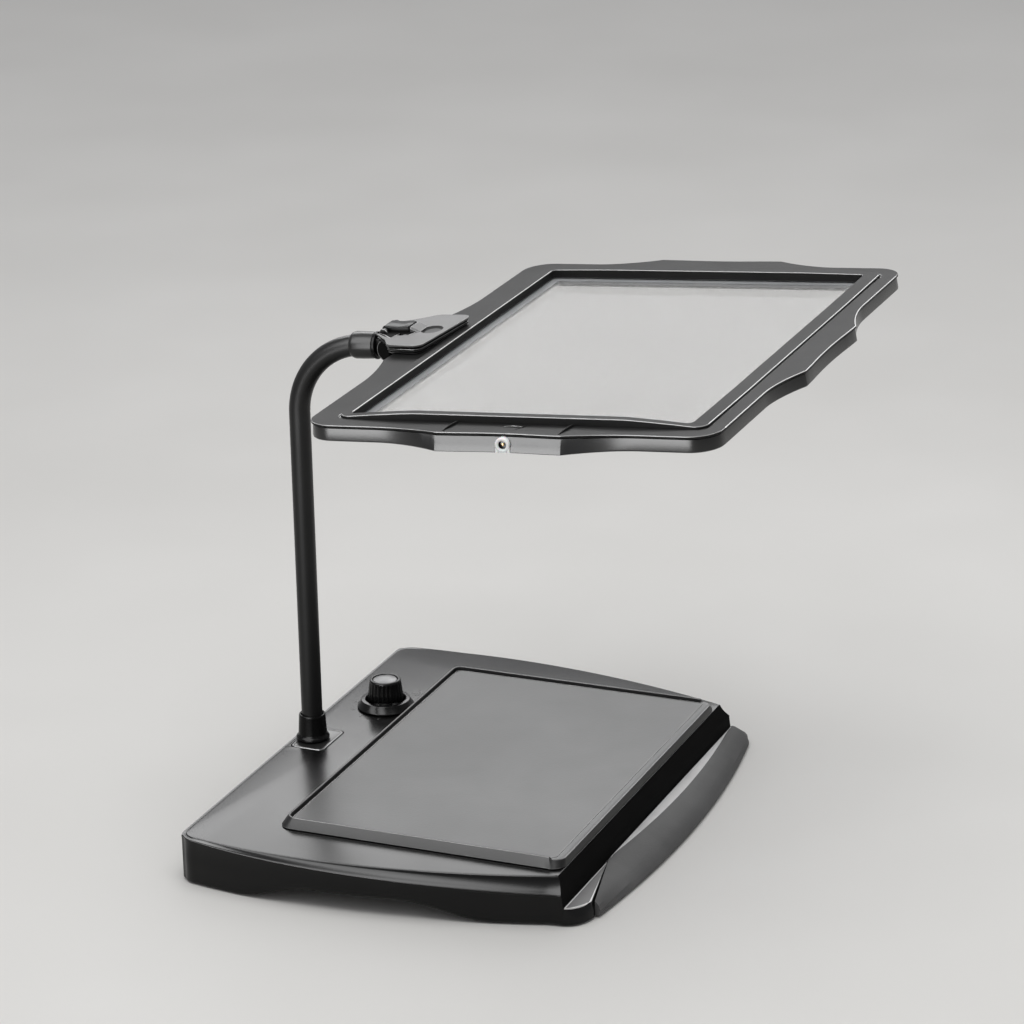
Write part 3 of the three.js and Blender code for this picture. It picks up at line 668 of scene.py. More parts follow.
def base_shell_piece():
    """The base's skin in one shell; its front slope takes unreflecting black, painted shade."""
    inner = deck_outline(1.0)
    near = deck_outline(0.35)
    rim = deck_outline()
    under = deck_outline(2.6)

    def ring(outline, flare, drop, height):
        points = []
        for x, y in outline:
            ridge = mix(RIDGE_BACK, RIDGE_FRONT, forward(y))
            points.append((*base_wall_point(x, y, flare, drop), height(ridge, arch_height(y))))
        return points

    top = DECK_Z
    rings = [
        ring(inner, 0, 0, lambda ridge, arch: top),
        ring(near, 0, 0, lambda ridge, arch: top - 0.12),
        ring(rim, 0, 0.02, lambda ridge, arch: top - 0.5),
    ]
    for t in (0.12, 0.35, 0.6, 0.82, 0.95):
        rings.append(ring(rim, t ** 1.7, t * 0.75, lambda ridge, arch, t=t: mix(top - 0.5, ridge + 0.7, t)))
    rings += [
        ring(rim, 0.98, 0.75, lambda ridge, arch: ridge + 0.65),
        ring(rim, 1.10, 0.78, lambda ridge, arch: ridge + 0.35),
        ring(rim, 1.10, 0.80, lambda ridge, arch: ridge - 0.2),
        ring(rim, 1.0, 0.84, lambda ridge, arch: ridge - 0.9),
        ring(rim, 1.0, 1.0, lambda ridge, arch: max(mix(ridge, FLOOR_Z, 0.40), arch + 1.6)),
        ring(rim, 1.0, 1.0, lambda ridge, arch: arch + 0.6),
        ring(rim, 0.90, 1.0, lambda ridge, arch: arch),
        ring(under, 0.9, 0.9, lambda ridge, arch: arch),
        ring(under, 0, 0.5, lambda ridge, arch: max(arch + 1, top - 2.5)),
    ]
    bm = skin(rings)
    gap, above = 0.5, top + 3
    plate_low, plate_high = node_box("neck_plate")
    x0, x1 = plate_low.x - gap, plate_high.x + gap
    y0 = plate_low.y - TRAY_Y - gap
    y1 = plate_high.y - TRAY_Y + gap
    recess = prism(rounded_rect(x1 - x0, y1 - y0, 3.4, (0, (y0 + y1) / 2)), top - 1.2, above)
    slits = [box(x - 0.25, x + 0.25, y1 - 4, y1 + 6, top - 0.5, above) for x in (-14.2, 14.2)]
    shell = piece("base_shell_body", bm, "base_plastic", "base", ["base_shell"], bevel=0.3, angle=32,
                  shine=True, cut=[recess, *slits])
    # faces of the front slope take black that reflects nothing: painted shade
    shell.data.materials.append(LOOKS["shadow_black"])
    slope_index = len(shell.data.materials) - 1
    for face in shell.data.polygons:
        if face.normal.y < -0.6 and face.center.z > (LEDGE_Z - 2) * MM:
            face.material_index = slope_index
    corner_step_piece()


def corner_step_piece():
    """The flat three-cornered step beside the hand rest."""
    left = -DECK_FRONT_HALF - FLARE_FRONT
    foot = [(left + 0.5, LEDGE_Y + 9)]
    foot += bezier((left - 0.06, LEDGE_Y + 2), (left, -85.5), (-116, -90), (-107.5, -91.6), 14)
    foot += [(-107.5, -91.6), (-60, LEDGE_Y - 0.1), (-60, LEDGE_Y + 3)]
    top = [(left + 0.5, LEDGE_Y + 9)]
    top += bezier((left - 0.04, LEDGE_Y + 1.6), (left + 0.6, -82.6), (-113.5, -87.8), (-107, -90.3), 14)
    top += [(-107, -90.3), (-60, LEDGE_Y), (-60, LEDGE_Y + 3)]
    mid = [tuple(mix(a, b, 0.75) for a, b in zip(p, q)) for p, q in zip(foot, top)]

    def height(y):
        return LEDGE_Z - 0.9 * smooth((LEDGE_Y - y) / 9.7)

    bm = skin([
        lift(foot, FLOOR_Z),
        lift(foot, FLOOR_Z + 4.5),
        [(x, y, height(y) - 1.2) for x, y in mid],
        [(x, y, height(y)) for x, y in top],
    ])
    piece("corner_step", bm, "base_plastic", "base", bevel=0.3, segments=3, angle=55)
    facet_piece(height)


def facet_piece(height):
    """The face let into the top of the step, its lighter grey a painted reflection, with pale edges that are
    painted highlights.
    """
    def outline(grow):
        return [(-120.4 - grow, LEDGE_Y - 0.5 + grow), (-64, LEDGE_Y - 0.5 + grow * 0.6),
                (-106.8 + grow * 0.4, -89.9 - grow), (-110.5, -88.9 - grow), (-115, -86.8 - grow),
                (-118.6 - grow * 0.5, -84.2 - grow * 0.7)]

    # pale edges are a painted highlight; the face's lighter grey is a painted reflection
    edge = ("step_edge", 0.0, 0.04, "bumper_painted_highlight")
    face = ("step_face", -0.75, 0.10, "clip_grey")
    for name, grow, rise, look in (edge, face):
        bm = skin([[(x, y, height(y) + dz) for x, y in outline(grow)] for dz in (-0.6, rise)])
        piece(name, bm, look, "base", angle=30)


def front_line(x):
    return -101.5 + 13 * (x / 135) ** 2


def bumper_piece():
    """The hand rest: a lens-shaped pale strip on top, its pale colour a painted highlight, and a broad matte
    slope down to the table.
    """
    back = LEDGE_Y - 0.3
    top = LEDGE_Z + 0.6
    middle, half = (STRIP_LEFT + STRIP_RIGHT) / 2, (STRIP_RIGHT - STRIP_LEFT) / 2

    def section(x):
        inside = max(0.0, 1 - ((x - middle) / half) ** 2)
        crest_y = back - STRIP_DEPTH * inside
        crest_z = top
        line_y = back
        if x < STRIP_LEFT:
            along = (STRIP_LEFT - x) / (STRIP_LEFT + 105.5)
            crest_y = line_y = mix(back, -91.2, along)
            crest_z = mix(top - 0.2, LEDGE_Z - 1.2, along)
        if x > STRIP_RIGHT:
            along = (x - STRIP_RIGHT) / (129 - STRIP_RIGHT)
            crest_y = mix(back, -83.5, along)
            line_y = mix(back, -82.4, along)
            crest_z = mix(top, 4.5, along ** 1.6)
        front = front_line(min(x, 126)) + (3.4 * max(0.0, (x - 120) / 9) ** 2)
        slope = []
        for t, out, up in ((0.2, 0.45, 0.45), (0.5, 0.9, 1.0), (0.82, 0.8, 0.7)):
            slope.append((x, mix(crest_y, front, t) - out, mix(crest_z, 2.4, t) + up))
        return [
            (x, line_y, FLOOR_Z), (x, line_y, crest_z), (x, crest_y - 0.02, crest_z), *slope,
            (x, front + 0.3, 2.7), (x, front, 2.3), (x, front, FLOOR_Z + 0.3), (x, front + 0.4, FLOOR_Z),
        ]

    stations = [-105.5, -103, -98, -92, -84, -76, -68, -62, -60.2]
    stations += [STRIP_LEFT + (STRIP_RIGHT - STRIP_LEFT) * i / 40 for i in range(1, 41)]
    stations += [122.5, 124, 125.5, 127, 128.2, 129]
    bm = skin([section(x) for x in stations])
    piece("bumper_pad", bm, "bumper_grip", "base", ["front_bumper"], bevel=0.3, segments=3, angle=24)
    low, high, rear = top - 0.3, top + 0.12, back - 0.35
    sections = []
    for i in range(41):
        x = STRIP_LEFT + 1.5 + (2 * half - 3) * i / 40
        depth = STRIP_DEPTH * (1 - ((x - middle) / half) ** 2)
        front = back - max(0.5, depth - 0.45)
        sections.append([(x, rear, low), (x, front, low), (x, front, high), (x, rear, high)])
    strip = skin(sections)
    # the strip's pale colour is a painted highlight along the crest of the hand rest
    piece("bumper_strip", strip, "bumper_painted_highlight", "base", bevel=0.1)


def tray_piece():
    """A slab with slanting outer walls; its rim fades out near the front, which is left open."""
    width, depth = TRAY_HIGH.x - TRAY_LOW.x, TRAY_HIGH.y - TRAY_LOW.y
    low, high, floor = TRAY_LOW.z, TRAY_HIGH.z, TRAY_FLOOR
    plain = rounded_rect(width, depth, TRAY_CORNER, arc=10, straight=30)
    rims = [smooth((y + depth / 2 - 5.0) / 2.5) for x, y in plain]

    def ring(inset, faded, full, drop=0.0, front=0.0):
        """Its height where the rim has faded and where it stands; front moves its front edge on its own."""
        radius = max(0.8, TRAY_CORNER - max(0, inset))
        outline = rounded_rect(width - 2 * inset, depth - inset * 2, radius, arc=10, straight=30)
        points = []
        for (x, y), rim in zip(outline, rims):
            ahead = smooth((-y - depth / 2 + 6) / 6)
            points.append((x, y - front * ahead, mix(faded, full, rim) - drop))
        return points

    crest = (floor + 0.1, high)
    groove = (floor, floor - 1.0)
    level = (floor, floor)
    rings = [
        ring(0.6, low - 0.3, low - 0.3),
        ring(-1.3, low - 0.05, low - 0.05, 0, -0.8),
        ring(-1.5, low + 0.15, low + 0.15, 0, -1.0),
        ring(-1.5, low + 0.4, low + 0.4, 0, -1.0),
        ring(1.35, *crest, 0.35, 1.4),
        ring(1.55, *crest, 0.08, 1.5),
        ring(1.8, *crest, 0, 1.4),
        ring(2.25, *crest, 0, 1.3),
        ring(2.5, *crest, 0.15, 1.3),
        ring(2.9, *groove, 0, 1.2),
        ring(3.7, *groove, 0, 1.2),
        ring(3.95, *level, 0, 1.2),
        ring(4.3, *level),
        ring(4.5, *level, 0.35),
        ring(4.75, *level),
    ]
    piece("tray_plate", skin(rings), "tray_plastic", "base", ["tray"], bevel=0.2, angle=32, shine=True)


# ---- dimmer ----
def knob_pieces():
    centre = (KNOB_X, KNOB_Y)
    low, high = KNOB_LOW.z, KNOB_HIGH.z
    foot, top = (corner.z for corner in node_box("knob_bezel"))
    bezel = turned([
        (12.2, foot), (15.1, foot), (15.35, foot + 0.35), (15.3, foot + 0.8), (14.9, foot + 1.1),
        (13.3, top - 0.5), (12.95, top - 0.12), (12.5, top), (11.2, top), (10.9, top - 0.3),
        (10.7, top - 0.9), (10.6, foot + 1),
    ], 72, centre)
    piece("knob_bezel_ring", bezel, "knob_plastic", "base", ["knob_bezel"], place=WORLD, angle=28)

    ribs = 24

    def flutes(angle, radius, height):
        share = smooth((radius - 7.9) / 0.5) * smooth((high - 0.9 - height) / 1.2)
        return -0.42 * share * (0.5 - 0.5 * math.cos(angle * ribs)) ** 1.5

    body = turned([
        (0, low + 1), (8.6, low + 1), (8.8, low), (9.5, low), (9.7, low + 0.3), (9.25, low + 4),
        (8.85, low + 7), (8.6, high - 1.7), (8.5, high - 1.0), (8.3, high - 0.45), (7.9, high - 0.1),
        (7.4, high), (7.0, high - 0.08), (6.75, high - 0.4), (6.65, high - 1.1), (0, high - 1.1),
    ], ribs * 8, centre, flutes)
    piece("knob_grip", body, "knob_plastic", "knob", ["knob"], place=WORLD)
    cap = turned([
        (0, high - 1.2), (6.3, high - 1.2), (6.3, high - 0.5), (6.0, high - 0.3), (3.0, high - 0.22),
        (0, high - 0.2),
    ], 64, centre)
    piece("knob_cap_disc", cap, "knob_cap_grey", "knob", ["knob_cap"], place=WORLD)
    dial_marks(centre)


def dial_marks(centre):
    """Ticks that grow round the dial, as thin inlays in the deck."""
    low, high = DECK_Z - 0.2, DECK_Z + 0.06
    first = 17.0
    parts = []
    for i in range(9):
        angle = math.radians(-45 + 270 * i / 8)
        length = 1.0 + 0.22 * i
        direction = Vector((math.cos(angle), math.sin(angle)))
        across = Vector((-direction.y, direction.x)) * 0.45
        start, end = Vector(centre) + direction * first, Vector(centre) + direction * (first + length)
        if end.y - TRAY_Y < TRAY_HIGH.y - TRAY_Y + 1.5:
            continue  # the tray stands there
        outline = [start - across, end - across, end + across, start + across]
        parts.append(prism([tuple(p) for p in outline], low, high))
    lamp = (centre[0] + 22, centre[1] - 7)
    parts.append(turned([(0, low), (1.3, low), (1.3, high), (0, high)], 24, lamp))
    outer, inner = 4.0, 3.0
    arc = [math.radians(200 + 140 * i / 20) for i in range(21)]
    sweep = [(lamp[0] + outer * math.cos(a), lamp[1] + outer * math.sin(a)) for a in arc]
    sweep += [(lamp[0] + inner * math.cos(a), lamp[1] + inner * math.sin(a)) for a in arc[::-1]]
    parts.append(prism(sweep, low, high))
    piece("dial_marks", join(*parts), "mark_ink", "base", place=WORLD, angle=50)


# ---- neck ----
NECK_X_Y = Vector((0, joint_point("neck_sway").y, 0))
BEND_RADIUS = 40
BEND_ANGLE = math.pi / 2 + LENS_TILT
BEND_END_Y = NECK_X_Y.y - BEND_RADIUS * (1 - math.cos(BEND_ANGLE))
AXIS_START = HEAD_ORIGIN + HEAD_NORMAL * PIVOT_H
BEND_END_V = (BEND_END_Y - AXIS_START.y) / HEAD_SLOPE.y
BEND_END_Z = AXIS_START.z + BEND_END_V * HEAD_SLOPE.z
BEND_START_Z = BEND_END_Z - BEND_RADIUS * math.sin(BEND_ANGLE)
NECK_BOTTOM = 26.0
NECK_END_V = 133.4
STRAIGHT = BEND_START_Z - NECK_BOTTOM
NECK_LENGTH = STRAIGHT + BEND_RADIUS * BEND_ANGLE + BEND_END_V - NECK_END_V


def neck_at(distance):
    """Point and bend of the neck's centre line at a distance from where it leaves the deck."""
    if distance <= STRAIGHT:
        return Vector((0, NECK_X_Y.y, NECK_BOTTOM + distance)), 0.0
    turn = min((distance - STRAIGHT) / BEND_RADIUS, BEND_ANGLE)
    point = Vector((
        0,
        NECK_X_Y.y - BEND_RADIUS * (1 - math.cos(turn)),
        BEND_START_Z + BEND_RADIUS * math.sin(turn),
    ))
    beyond = max(0.0, distance - STRAIGHT - BEND_RADIUS * BEND_ANGLE)
    return point - HEAD_SLOPE * beyond, turn


def neck_ring(distance, radius):
    point, turn = neck_at(distance)
    tilt = Matrix.Rotation(turn, 3, "X")
    ring = []
    for i in range(NECK_SIDES):
        angle = 2 * math.pi * i / NECK_SIDES
        ring.append(point + tilt @ Vector((radius * math.cos(angle), radius * math.sin(angle), 0)))
    return ring


def neck_pieces():
    """The smooth sleeve in six lengths that meet end to end, one across each joint of the chain."""
    names = ["neck_sway", "neck_bend", "neck_sway_2", "neck_bend_2", "neck_sway_3", "neck_bend_3"]
    pivots = []
    for name in names:
        point = joint_point(name)
        if point.z < BEND_START_Z:
            pivots.append(point.z - NECK_BOTTOM)
        else:
            pivots.append(STRAIGHT + BEND_RADIUS * math.asin((point.z - BEND_START_Z) / BEND_RADIUS))
    cuts = [0.0] + [(a + b) / 2 for a, b in zip(pivots, pivots[1:])] + [NECK_LENGTH]
    for k, pivot in enumerate(pivots):
        start, end = cuts[k], cuts[k + 1]
        steps = max(8, math.ceil((end - start) / 1.5))
        rings = [neck_ring(mix(start, end, i / steps), NECK_RADIUS) for i in range(steps + 1)]
        if k == 0:
            rings.insert(0, neck_ring(start, NECK_RADIUS - 0.6))
        if k == len(pivots) - 1:
            rings.append(neck_ring(end, NECK_RADIUS - 0.6))
        bm = skin(rings, first=(k == 0), last=(k == len(pivots) - 1))
        made = piece(f"neck_sleeve_{k + 1}", bm, "neck_sleeve", place=WORLD, angle=60)
        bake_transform(made)
        stands = [f"neck_link_{k + 1}"] + (["neck_link_7"] if k == len(pivots) - 1 else [])
        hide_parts(*stands)


def collar_pieces():
    low, high = node_box("neck_collar")
    centre = (0, NECK_X_Y.y)
    r = NECK_RADIUS
    collar = turned([
        (r + 0.25, low.z), (8.5, low.z), (8.8, low.z + 0.3), (8.8, low.z + 1.1), (8.55, low.z + 1.6),
        (8.1, low.z + 1.95), (7.75, low.z + 2.4), (7.55, low.z + 3.2), (7.0, high.z - 0.9),
        (6.9, high.z - 0.35), (6.65, high.z - 0.05), (6.35, high.z), (r + 0.45, high.z - 0.25),
        (r + 0.25, high.z - 0.8),
    ], 56, centre)
    piece("collar_sleeve", collar, "collar_plastic", "base", ["neck_collar"], place=WORLD, angle=35)
    low, high = node_box("neck_plate")
    plate_y = (low.y + high.y) / 2
    outline = [(28, 19, 3.0, low.z), (28, 19, 3.0, high.z - 0.45), (27.7, 18.7, 2.9, high.z - 0.12),
               (27.0, 18.0, 2.6, high.z), (25.6, 16.6, 2.2, high.z), (25.1, 16.1, 2.0, high.z - 0.3),
               (24.2, 15.2, 1.6, high.z - 0.38)]
    bm = skin([lift(rounded_rect(w, d, r, (0, plate_y), 8, 4), z) for w, d, r, z in outline])
    piece("neck_seat_plate", bm, "plate_satin", "base", ["neck_plate"], place=WORLD, bevel=0.2, angle=20,
          shine=True)


# ---- lens head ----
SIDES = [
    # right, rear, left, front: half its length, how far out it stands, its swell at the upper and lower
    # edge, where the swell is full and where it has gone, and how far the upper edge rises there
    {"half": FRAME_HALF[1], "out": FRAME_HALF[0] + 0.5, "swell": (10.5, 10.5), "ramp": (33, 66), "rise": 0.0},
    {"half": FRAME_HALF[0], "out": FRAME_HALF[1], "swell": (5.5, 5.5), "ramp": (38, 74), "rise": 0.0},
    {"half": FRAME_HALF[1], "out": FRAME_HALF[0] + 1.3, "swell": (7.4, 9.7), "ramp": (31.5, 66), "rise": 0.9},
    {"half": FRAME_HALF[0], "out": FRAME_HALF[1], "swell": (8.0, 8.3), "ramp": (38, 74), "rise": 0.0},
]
FACET = 11
FACET_TURN = 0.35
HOLLOW = 0.9


def ramp_share(side, s):
    """0 outside the swollen middle of an edge, 1 inside, rising ever more steeply to a corner."""
    top, foot = side["ramp"]
    return min(1.0, max(0.0, (foot - abs(s)) / (foot - top))) ** 1.8


def swell_at(side, s, low):
    """How far an edge of the frame stands out: a ramp, a flat facet, then a slightly hollow middle."""
    swell = mix(*side["swell"], low) * ramp_share(side, s)
    inner = side["ramp"][0] - FACET
    a = abs(s)
    if a < inner:
        return swell - FACET_TURN - HOLLOW * (1 - (a / inner) ** 2)
    if a < side["ramp"][0]:
        return swell - FACET_TURN * (side["ramp"][0] - a) / FACET
    return swell


def side_stations(side):
    top, foot = side["ramp"]
    edge = side["half"] - FRAME_CORNER
    half = [edge, mix(edge, foot, 0.5), foot]
    half += [mix(foot, top, i / 14) for i in range(1, 14)] + [top + 0.15, top - 0.15]
    half += [top - FACET / 2, top - FACET + 0.15, top - FACET - 0.15]
    half += [mix(top - FACET - 0.15, 0, i / 9) for i in range(1, 9)]
    return [-s for s in half] + [0] + half[::-1]


def as_height(height):
    """A ring's height at side k and distance s along it; a plain number is the same all round."""
    return height if callable(height) else lambda k, s: height


def frame_ring(inset, height, low=0.0):
    """A ring round the frame, inset from its outer edge; low is 0 at the upper edge, 1 at the lower."""
    height = as_height(height)
    points = []
    for k, side in enumerate(SIDES):
        angle = k * math.pi / 2
        for s in side_stations(side):
            scale = 1 - inset / side["half"] if abs(s) > side["ramp"][1] else 1
            out = side["out"] + swell_at(side, s, low) - inset
            x = out * math.cos(angle) - s * scale * math.sin(angle)
            y = out * math.sin(angle) + s * scale * math.cos(angle) + FRAME_SHIFT
            points.append((x, y, height(k, s) + side["rise"] * ramp_share(side, s) * (1 - low)))
        corner = FRAME_CORNER
        after = SIDES[(k + 1) % 4]
        out, along = side["out"] - corner, after["out"] - corner
        cx = out * math.cos(angle) - along * math.sin(angle)
        cy = out * math.sin(angle) + along * math.cos(angle) + FRAME_SHIFT
        for i in range(1, 10):
            turn = angle + math.pi / 2 * i / 10
            radius = corner - inset
            points.append((cx + radius * math.cos(turn), cy + radius * math.sin(turn),
                           height(k, side["half"])))
    return points


def opening_ring(outset, height, ledge=0.0):
    """A ring round the lens opening with the same count of points as frame_ring."""
    height = as_height(height)
    points = []
    squeeze = 1 - ledge / (OPENING[1] / 2)
    half = (OPENING[0] / 2 + outset, OPENING[1] / 2 + outset)
    radius = 2.5 + outset * 0.6
    for k, side in enumerate(SIDES):
        angle = k * math.pi / 2
        out = half[k % 2]
        reach = half[(k + 1) % 2] - radius
        edge = side["half"] - FRAME_CORNER
        for s in side_stations(side):
            t = s / edge * reach
            x = out * math.cos(angle) - t * math.sin(angle)
            y = out * math.sin(angle) + t * math.cos(angle)
            points.append((x, y * (squeeze if y < 0 else 1), height(k, t)))
        cx = (out - radius) * math.cos(angle) - reach * math.sin(angle)
        cy = (out - radius) * math.sin(angle) + reach * math.cos(angle)
        for i in range(1, 10):
            turn = angle + math.pi / 2 * i / 10
            y = cy + radius * math.sin(turn)
            points.append((cx + radius * math.cos(turn), y * (squeeze if y < 0 else 1), height(k, reach)))
    return points


FRONT_LEDGE = 3.4
LIP_CROWN = (0.5, 0.0, 2.4, -0.4)


def lip_height(k, t):
    """The lip round the opening rises towards the middle of each side."""
    reach = OPENING[(k + 1) % 2] / 2
    return 1.0 + LIP_CROWN[k] * min(1.0, 1.6 * (1 - (t / reach) ** 2))


def frame_top_piece():
    rings = [
        frame_ring(2.5, FRAME_SPLIT),
        frame_ring(0.2, FRAME_SPLIT),
        frame_ring(0.0, FRAME_SPLIT + 0.25),
        frame_ring(0.0, 0.0),
        frame_ring(3.5, 0.0),
        opening_ring(5.9, 0.0),
        opening_ring(5.8, -0.7),
        opening_ring(5.2, -0.7),
        opening_ring(5.0, lip_height),
        opening_ring(0.0, lip_height, FRONT_LEDGE),
        opening_ring(0.0, -3.3, FRONT_LEDGE),
        opening_ring(2.0, -3.5, 0.0),
    ]
    bm = closed_skin(rings)
    slot_length, slot_width = 5.2, 2.4
    slot = [(-OPENING[0] / 2 - 11.5 + slot_width * math.sin(math.pi * t), mix(-slot_length, slot_length, t))
            for t in [i / 12 for i in range(13)]]
    slot += [(-OPENING[0] / 2 - 11.5 - 0.4 * math.sin(math.pi * t), mix(slot_length, -slot_length, t))
             for t in [i / 12 for i in range(1, 12)]]
    cutter = prism(slot, -1.0, 3)
    piece("frame_top_shell", bm, "frame_plastic", "lens_head", ["frame_top"], bevel=0.28,
          shine=True, cut=[cutter])
    ridge_pieces()
    highlight_line_piece()


def highlight_line_piece():
    """Painted highlights: thin pale lines along the back of the opening and along the front edge."""
    def along(points, k):
        start = sum(len(side_stations(side)) + 9 for side in SIDES[:k])
        return points[start:start + len(side_stations(SIDES[k]))]

    parts = []
    for outer, inner, k in (
        (opening_ring(0.03, lip_height, FRONT_LEDGE), opening_ring(0.6, lip_height, FRONT_LEDGE), 1),
        (opening_ring(4.97, lip_height), opening_ring(4.45, lip_height), 3),
        (frame_ring(0.03, 0.0), frame_ring(0.5, 0.0), 3),
    ):
        sections = []
        for a, b in zip(along(outer, k), along(inner, k)):
            sections.append([(a[0], a[1], a[2] - 0.3), (a[0], a[1], a[2] + 0.05),
                             (b[0], b[1], b[2] + 0.05), (b[0], b[1], b[2] - 0.3)])
        parts.append(skin(sections))
    piece("frame_edge_lines", join(*parts), "painted_highlight_edge", "lens_head")


def ridge_pieces():
    """Short upstands across the left edge where its swollen middle begins and ends."""
    parts = []
    for v in (28.5, -29.5):
        outer, inner = -FRAME_HALF[0] - 6.8, -OPENING[0] / 2 - 6.8
        rings = []
        for t in (0, 0.08, 0.3, 0.7, 0.92, 1):
            u, w = mix(outer, inner, t), v + FRAME_SHIFT - 1.2 * t
            rise = 0.75 + 1.0 * math.sin(math.pi * (0.04 + 0.92 * t)) ** 0.5
            rings.append([(u, w + 1.3, -0.3), (u, w + 0.9, rise * 0.35), (u, w - 0.35, rise),
                          (u, w - 0.7, rise - 0.05), (u, w - 0.8, -0.3)])
        parts.append(skin(rings))
    piece("frame_ribs", join(*parts), "frame_plastic", "lens_head", bevel=0.12, angle=35)


JACK_V = 0
JACK_H = -4.2
JACK_FACE = -FRAME_HALF[0] - 11 + 1.25


def socket_turned(profile, sides):
    """A body of revolution round the power socket's axis."""
    return turned(profile, sides, (JACK_V, JACK_H), axis="x")


def frame_bottom_piece():
    split = FRAME_SPLIT - 0.35
    rings = [
        frame_ring(4.0, split, 0.1),
        frame_ring(0.95, split, 0.1),
        frame_ring(0.75, split - 0.25, 0.15),
        frame_ring(0.25, FRAME_BOTTOM + 1.0, 0.9),
        frame_ring(0.35, FRAME_BOTTOM + 0.45, 1.0),
        frame_ring(0.9, FRAME_BOTTOM + 0.05, 1.0),
        frame_ring(1.6, FRAME_BOTTOM, 1.0),
        frame_ring(6.0, FRAME_BOTTOM, 1.0),
        opening_ring(6.0, FRAME_BOTTOM),
        opening_ring(0.6, FRAME_BOTTOM),
        opening_ring(0.15, FRAME_BOTTOM + 0.2),
        opening_ring(0.0, FRAME_BOTTOM + 0.6),
        opening_ring(0.0, -5.8),
        opening_ring(4.0, -5.7),
    ]
    bm = closed_skin(rings)
    outer, inner, clear = JACK_FACE - 5, JACK_FACE + 2, 3.9
    notch = socket_turned([(0, outer), (clear, outer), (clear, inner), (0, inner)], 32)
    mouth = box(outer, inner, -clear, clear, -12, JACK_H)
    cutters = [notch, mouth]
    for name in ("left", "right"):
        u, _ = node_centre(f"light_window_{name}")
        window = rounded_rect(6.2, 96.2, 1.1, (u, 0), 4)
        cutters.append(prism(window, FRAME_BOTTOM - 3, FRAME_BOTTOM + 1.2))
    piece("frame_bottom_shell", bm, "frame_gloss", "lens_head", ["frame_bottom"], angle=28, cut=cutters)


def jack_pieces():
    face = JACK_FACE
    ring = socket_turned([
        (1.95, face + 6), (1.95, face + 0.5), (2.2, face + 0.1), (2.5, face - 0.05), (3.3, face - 0.05),
        (3.55, face + 0.15), (3.6, face + 0.5), (3.6, face + 6),
    ], 48)
    front, rear, lower = face + 0.1, face + 5, FRAME_BOTTOM + 0.1
    cheeks = [box(front, rear, v0, v1, lower, JACK_H - 1.6) for v0, v1 in ((-3.58, -2.0), (2.0, 3.58))]
    cheeks.append(box(front, rear, -2.2, 2.2, lower, JACK_H - 2.2))
    back = socket_turned([(0, face + 5.5), (2.2, face + 5.5), (2.2, face + 6.2), (0, face + 6.2)], 24)
    piece("power_socket", join(ring, *cheeks, back), "jack_white", "lens_head", ["power_jack"])
    bore = socket_turned([(1.93, face + 5.4), (1.93, face + 0.7), (1.8, face + 0.7), (1.8, face + 5.4)], 32)
    piece("socket_sleeve", bore, "knob_plastic", "lens_head")
    pin = socket_turned([
        (0, face + 0.9), (0.35, face + 0.95), (0.62, face + 1.2), (0.65, face + 5.5), (0, face + 5.5),
    ], 24)
    piece("socket_pin", pin, "contact_brass", "lens_head", ["jack_pin"])


def lens_pieces():
    """The plain sheet of the lens, and its frosted border, tinted pale grey as painted reflection."""
    top, low = -3.8, -5.4
    border, under = 4.2, 2.8  # how far the border shows, and how far it runs on under the frame
    width, depth = OPENING
    clear = (width - 2 * border, depth - 2 * border, 1.5)
    hole = (clear[0] + 0.1, clear[1] + 0.1, 1.5)
    edge = (width + 2 * under, depth + 2 * under, 3.8)

    def ring(size, height):
        return lift(rounded_rect(*size, arc=6, straight=12), height)

    sheet = skin([ring(clear, low), ring(clear, top)])
    piece("lens_sheet", sheet, "lens_clear", "lens_head", ["page_lens"], angle=30)
    rim = closed_skin([ring(edge, low), ring(edge, top), ring(hole, top), ring(hole, low)])
    piece("lens_rim", rim, "lens_border", "lens_head", angle=30)


def window_pieces():
    for name in ("left", "right"):
        u, _ = node_centre(f"light_window_{name}")
        sections = [(5.4, 95.4, 0.8, -5.9), (5.4, 95.4, 0.8, FRAME_BOTTOM + 0.35),
                    (5.1, 95.1, 0.7, FRAME_BOTTOM + 0.1), (4.4, 94.4, 0.6, FRAME_BOTTOM)]
        bm = skin([lift(rounded_rect(w, d, r, (u, 0), 5, 16), h) for w, d, r, h in sections])
        piece(f"light_diffuser_{name}", bm, "light_window", "lens_head", [f"light_window_{name}"], angle=30)


def clip_outline(inset):
    """The clip plate seen from above: straight front, tapering in two steps to its rear lugs."""
    front, wide, rear = 91 + inset, 27 - inset, 129.0 - inset
    corner = 4.6 - inset * 0.6
    right = [(wide - corner, front)]
    for i in range(1, 9):
        angle = math.radians(-90 + 90 * i / 9)
        right.append((wide - corner + corner * math.cos(angle), front + corner + corner * math.sin(angle)))
    right += [(wide, front + corner), (wide - 0.6, 107.5), (wide - 2, 110), (20 - inset, 115),
              (18.2 - inset, 117), (10.5 - inset, rear - 2.2), (9.6 - inset, rear - 0.9), (8.2 - inset, rear)]
    left = []
    for x, y in right[::-1]:
        reach = smooth(x / 27) * smooth((128 - y) / 20)
        left.append((-x - 2.4 * reach, y + 4.2 * reach))
    return right + left


# the pit round the latch, drawn out on the near side to the outline of the latch's shadow
LATCH_PIT_AND_SHADOW = [(6.9, 110.3), (6.9, 118), (8.6, 124), (8.6, 133), (-9.2, 133), (-9.4, 126.5), (-13.0, 122.5),
          (-15.2, 119.5), (-11.6, 117), (-12.0, 113), (-8.0, 110.3)]
